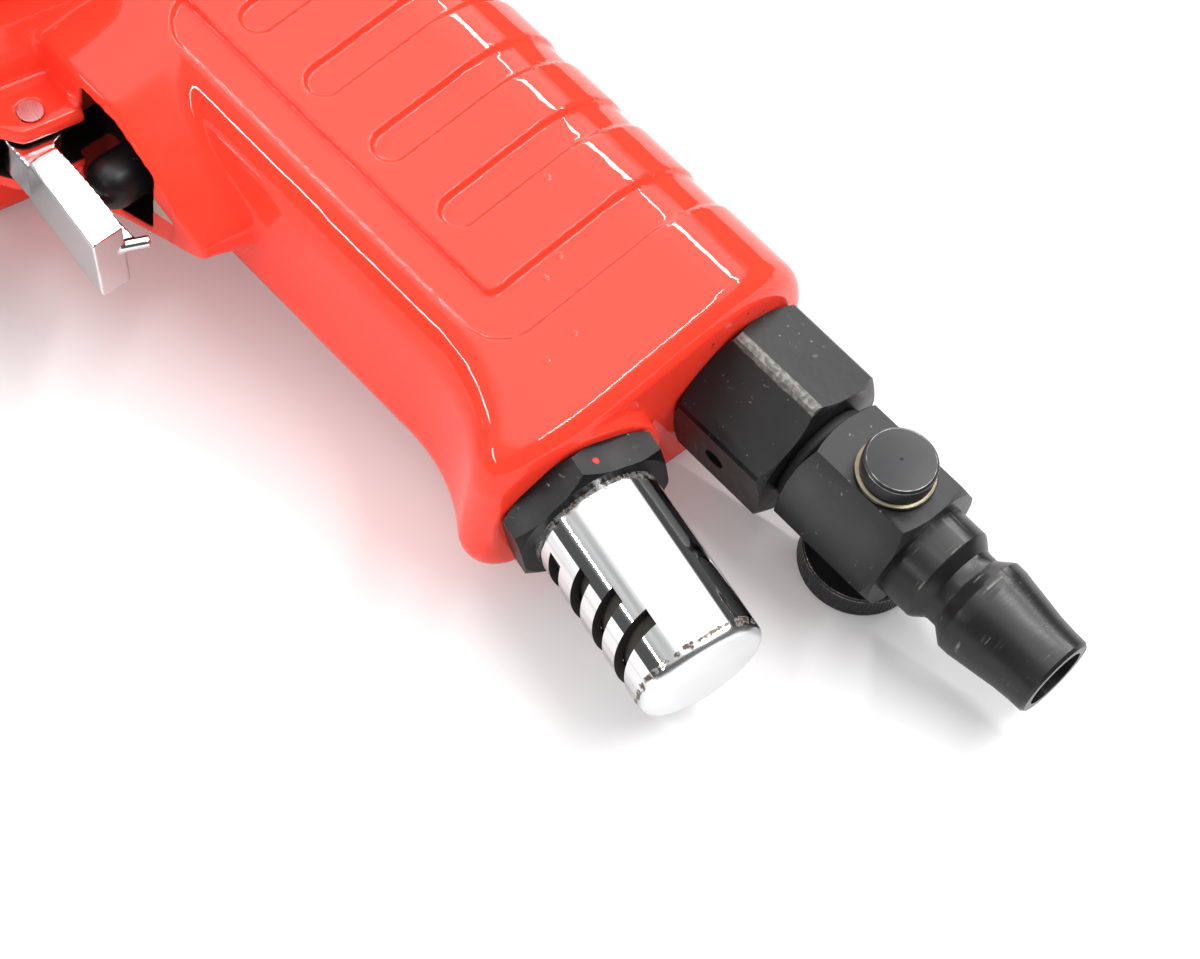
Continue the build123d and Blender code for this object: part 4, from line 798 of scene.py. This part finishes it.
clip_brass = grained(
    "clip_brass", SPINDLE, (0.42, 0.37, 0.26), 0.32, 1.0,
    tones=((0.03, 0.026, 0.018), (0.20, 0.175, 0.125)), patches=(500, 4), grain=(1200, 3), depth=0.02,
)
clip = turned(
    "spindle_clip_ring",
    [(3.76, 8.1), (4.45, 8.1), (4.6, 8.2), (4.6, 8.55), (4.45, 8.65), (3.76, 8.65), (3.76, 8.1)],
)
placed(clip, SPINDLE)
smoothed(clip, 50)
seated(clip, "brass", [clip_brass], "spindle_clip")

# Exhaust muffler
# A drawn steel tube with a closed end, chromed, with four saw cuts that deepen towards the end.
# It screws up into the grip over a felt plug, and rust has started by its lock nut and along its rim.
MUFFLER_X = -119.7
MUFFLER = LAID @ shift(MUFFLER_X, 0, GRIP_END_Z)
TUBE_R = 7.7
TUBE_END = -7.6
RIM_R = 1.2
CUTS = 4
CUT_WIDE = 1.95
CUT_PITCH = 4.38
CUT_FIRST_Z = -3.1
CUT_SHALLOW = 1.15
CUT_DEEPENS = 1.55
CUT_LEAN = 14.0
CUT_TURN = -16.7
NUT_RUST_Z = 13.55
RIM_RUST_Z = -6.2
tube_chrome, tree, shader = surface("tube_chrome", (0.82, 0.83, 0.84), 0.07, 1.0)
place = axes_of(tree, MUFFLER)
tube_z = along(tree, place, (0, 0, 1))
ragged = ranged(tree, cloudy(tree, place, 900, 5), -0.9 * MM, 0.9 * MM)
edge_z = reckoned(tree, "ADD", tube_z, ragged)
near_nut = past(tree, edge_z, NUT_RUST_Z, 0.45)
near_nut = times(tree, near_nut, step(tree, cloudy(tree, place, 1200, 4), 0.42, 0.60))
near_rim = reckoned(tree, "ABSOLUTE", reckoned(tree, "SUBTRACT", edge_z, RIM_RUST_Z * MM))
near_rim = times(tree, past(tree, near_rim, 0.325, -0.125), past(tree, tube_z, -7.05, 0.15))
near_rim = times(tree, near_rim, step(tree, cloudy(tree, place, 800, 4), 0.42, 0.52))
rust = most(tree, near_nut, near_rim)
tone = mottled(tree, place, 150, 3, (0.76, 0.77, 0.78), (0.88, 0.88, 0.89))
streaks = cloudy(tree, stretched(tree, place, (900, 900, 25)), 1, 3)
streaks = times(tree, step(tree, streaks, 0.45, 0.75), past(tree, tube_z, -6.7, 0.3))
tone = blended(tree, streaks, tone, (0.55, 0.55, 0.55))
end_face = past(tree, tube_z, -6.75, -0.45)
smudge = most(tree, rust, end_face, step(tree, cloudy(tree, place, 260, 4), 0.60, 0.85))
fed(tree, shader, {
    "Base Color": blended(tree, rust, tone, (0.07, 0.040, 0.018)),
    "Metallic": ranged(tree, rust, 1.0, 0.1),
    "Roughness": ranged(tree, smudge, 0.05, 0.30),
})
tube_inside, tree, shader = surface("tube_inside", (0.05, 0.045, 0.035), 0.6, 0.4)
soot = mottled(tree, axes_of(tree, MUFFLER), 400, 4, (0.006, 0.005, 0.004), (0.022, 0.019, 0.014))
fed(tree, shader, {"Base Color": soot})

rim = [(TUBE_R - RIM_R + radius, TUBE_END + RIM_R - depth) for radius, depth in dome(RIM_R, 0.0, 75, 0, 5)]
side = [(TUBE_R, 30.0), (TUBE_R, TUBE_END + RIM_R)]
muffler = turned("muffler_tube_chromed", side + rim + [(3.0, TUBE_END), (0.05, TUBE_END)], 128)
muffler.data.materials.append(tube_chrome)
muffler.data.materials.append(tube_inside)
bore = turned("muffler_bore", [(6.6, 40.0), (6.6, TUBE_END + 1.1)])
bore.data.materials.append(tube_inside)
joined(muffler, bore, "DIFFERENCE")
for index in range(CUTS):
    depth = CUT_SHALLOW + CUT_DEEPENS * (CUTS - 1 - index)
    middle = CUT_FIRST_Z + index * CUT_PITCH
    into_side = shift(2 * TUBE_R - depth, 0, middle) @ rotation(CUT_LEAN, "X")
    saw = box("saw", (2 * TUBE_R, 4 * TUBE_R, CUT_WIDE), into_side)
    saw.data.materials.append(tube_inside)
    placed(saw, rotation(CUT_TURN, "Z"))
    joined(muffler, saw, "DIFFERENCE")
placed(muffler, MUFFLER)
smoothed(muffler, 32)
seated(muffler, "chrome", [], "muffler_tube")

felt = grained(
    "felt", MUFFLER, (0.24, 0.22, 0.18), 0.95, 0.0,
    tones=((0.02, 0.018, 0.014), (0.08, 0.072, 0.058)), patches=(700, 5), grain=(1500, 4), depth=0.15,
)
felt_plug = turned("muffler_felt_pressed", [(5.9, 18.0), (6.2, 17.7), (6.2, -5.7), (5.8, -6.1), (0.2, -6.1)])
placed(felt_plug, MUFFLER)
smoothed(felt_plug, 40)
seated(felt_plug, "felt", [felt], "muffler_felt")

# Muffler lock nut
# A thin hexagon nut of blackened steel jams the muffler against the end of the grip.
# Its corners are rubbed, and a spot of the grip's enamel has dried on one flat, beside a bare spot.
SPOT_R = 0.5
ENAMEL_SPOT = (0.44, 9.4, 16.0)
BARE_SPOT = (1.94, 9.3, 17.25)
nut_black = worn_black("nut_black", MUFFLER, sheen=0.15)
tree = nut_black.node_tree
shader = tree.nodes["Principled BSDF"]
place = axes_of(tree, MUFFLER)
ragged = ranged(tree, cloudy(tree, place, 900, 3), -0.25 * MM, 0.25 * MM)
for spot, colour in ((ENAMEL_SPOT, (0.80, 0.030, 0.018)), (BARE_SPOT, (0.34, 0.29, 0.23))):
    gap = distance(tree, place, [axis * MM for axis in spot])
    gap = reckoned(tree, "ADD", gap, ragged)
    under = shader.inputs["Base Color"].links[0].from_socket
    painted = blended(tree, past(tree, gap, SPOT_R * 0.9, -SPOT_R * 0.1), under, colour)
    fed(tree, shader, {"Base Color": painted})
nut = hexagon("muffler_lock_nut_blackened", 18.5, 14.2, 18.0, 15.0, corner=10.68)
joined(nut, turned("nut_thread", [(7.71, 10.0), (7.71, 20.0)]), "DIFFERENCE")
nut.data.materials.append(nut_black)
nut.data.materials.append(edge_bright("nut_edge", MUFFLER))
placed(nut, MUFFLER)
eased(nut, 0.10, 24, 1)
seated(nut, "nut_steel", [], "muffler_lock_nut")

# Studio
# The tool lies on white paper in even light. Its gloss shows a white ceiling, grey at the front, and three
# lit strips. The camera stands about a third of a metre off, above the tool's left side.
MIDDLE = Vector((-0.12, 0.08, 0.0))
FLOOR_Z = -27.6
PAPER_GLOW = 0.12
EVEN_LIGHT = 0.97
CEILING_DARK = 0.10
CEILING_WHITE = 3.2
CEILING_GREY = 0.75
STRIP_DISTANCE = 1.1
STRIP_LENGTH = 0.9
bpy.ops.object.select_all(action="DESELECT")
bpy.ops.mesh.primitive_plane_add(size=0.6, location=(MIDDLE.x, MIDDLE.y, FLOOR_Z * MM))
floor = bpy.context.object
floor.name = "floor"
paper, tree, shader = surface("paper", (0.74, 0.74, 0.74), 0.9, 0.0)
rays = node(tree, "LightPath", {}).outputs
fed(tree, shader, {"Emission Strength": times(tree, rays["Is Camera Ray"], PAPER_GLOW)})
shader.inputs["Emission Color"].default_value = (1, 1, 1, 1)
floor.data.materials.append(paper)

world = bpy.data.worlds.new("studio")
world.use_nodes = True
bpy.context.scene.world = world
tree = world.node_tree
background = tree.nodes["Background"]
background.inputs["Color"].default_value = (1, 1, 1, 1)
rays = node(tree, "LightPath", {}).outputs
toward = node(tree, "TexCoord", {}).outputs["Generated"]
overhead = most(tree, along(tree, toward, (0, -0.36, 0.93)), 0.02)
slant = reckoned(tree, "DIVIDE", along(tree, toward, (1, 0, 0)), overhead)
upward = most(tree, along(tree, toward, (0, 0, 1)), 0.02)
nearer = reckoned(tree, "DIVIDE", along(tree, toward, (0, 1, 0)), upward)
near_limit = step(tree, nearer, 0.8, 0.35)
white = times(tree, step(tree, slant, -1.9, -1.3), step(tree, slant, 1.0, 0.35), near_limit)
grey = times(tree, step(tree, slant, 0.4, 1.2), step(tree, slant, 2.8, 0.9), near_limit)
ceiling = ranged(tree, white, CEILING_DARK, CEILING_WHITE)
ceiling = reckoned(tree, "ADD", ceiling, times(tree, grey, CEILING_GREY))
mirrored = most(tree, rays["Is Glossy Ray"], rays["Is Transmission Ray"])
lit = node(tree, "Mix", {0: mirrored, 2: EVEN_LIGHT, 3: ceiling}).outputs[0]
level = node(tree, "Mix", {0: rays["Is Camera Ray"], 2: lit, 3: 1.0}).outputs[0]
fed(tree, background, {"Strength": level})

for name, direction, width, power in (
    ("back_strip", (-0.72, -0.28, 0.63), 0.035, 5.8),
    ("front_strip", (0.87, -0.32, 0.36), 0.035, 5.8),
    ("top_strip", (-0.37, 0.30, 0.88), 0.08, 8.0),
):
    strip = bpy.data.objects.new(name, bpy.data.lights.new(name, "AREA"))
    bpy.context.scene.collection.objects.link(strip)
    strip.data.energy = power
    strip.data.shape = "RECTANGLE"
    strip.data.size = STRIP_LENGTH
    strip.data.size_y = width
    strip.location = MIDDLE + Vector(direction).normalized() * STRIP_DISTANCE
    strip.rotation_euler = (-Vector(direction)).to_track_quat("-Z", "Y").to_euler()

camera = bpy.data.objects.new("camera", bpy.data.cameras.new("camera"))
bpy.context.scene.collection.objects.link(camera)
camera.data.lens = 90.0
camera.data.sensor_width = 36.0
camera.data.clip_start = 0.01
camera.location = (-0.002307, 0.249849, 0.251259)
camera.rotation_euler = Euler([math.radians(angle) for angle in (36.0833, -3.9255, 146.9194)], "XYZ")
bpy.context.scene.camera = camera
bpy.context.scene.view_settings.view_transform = "Standard"
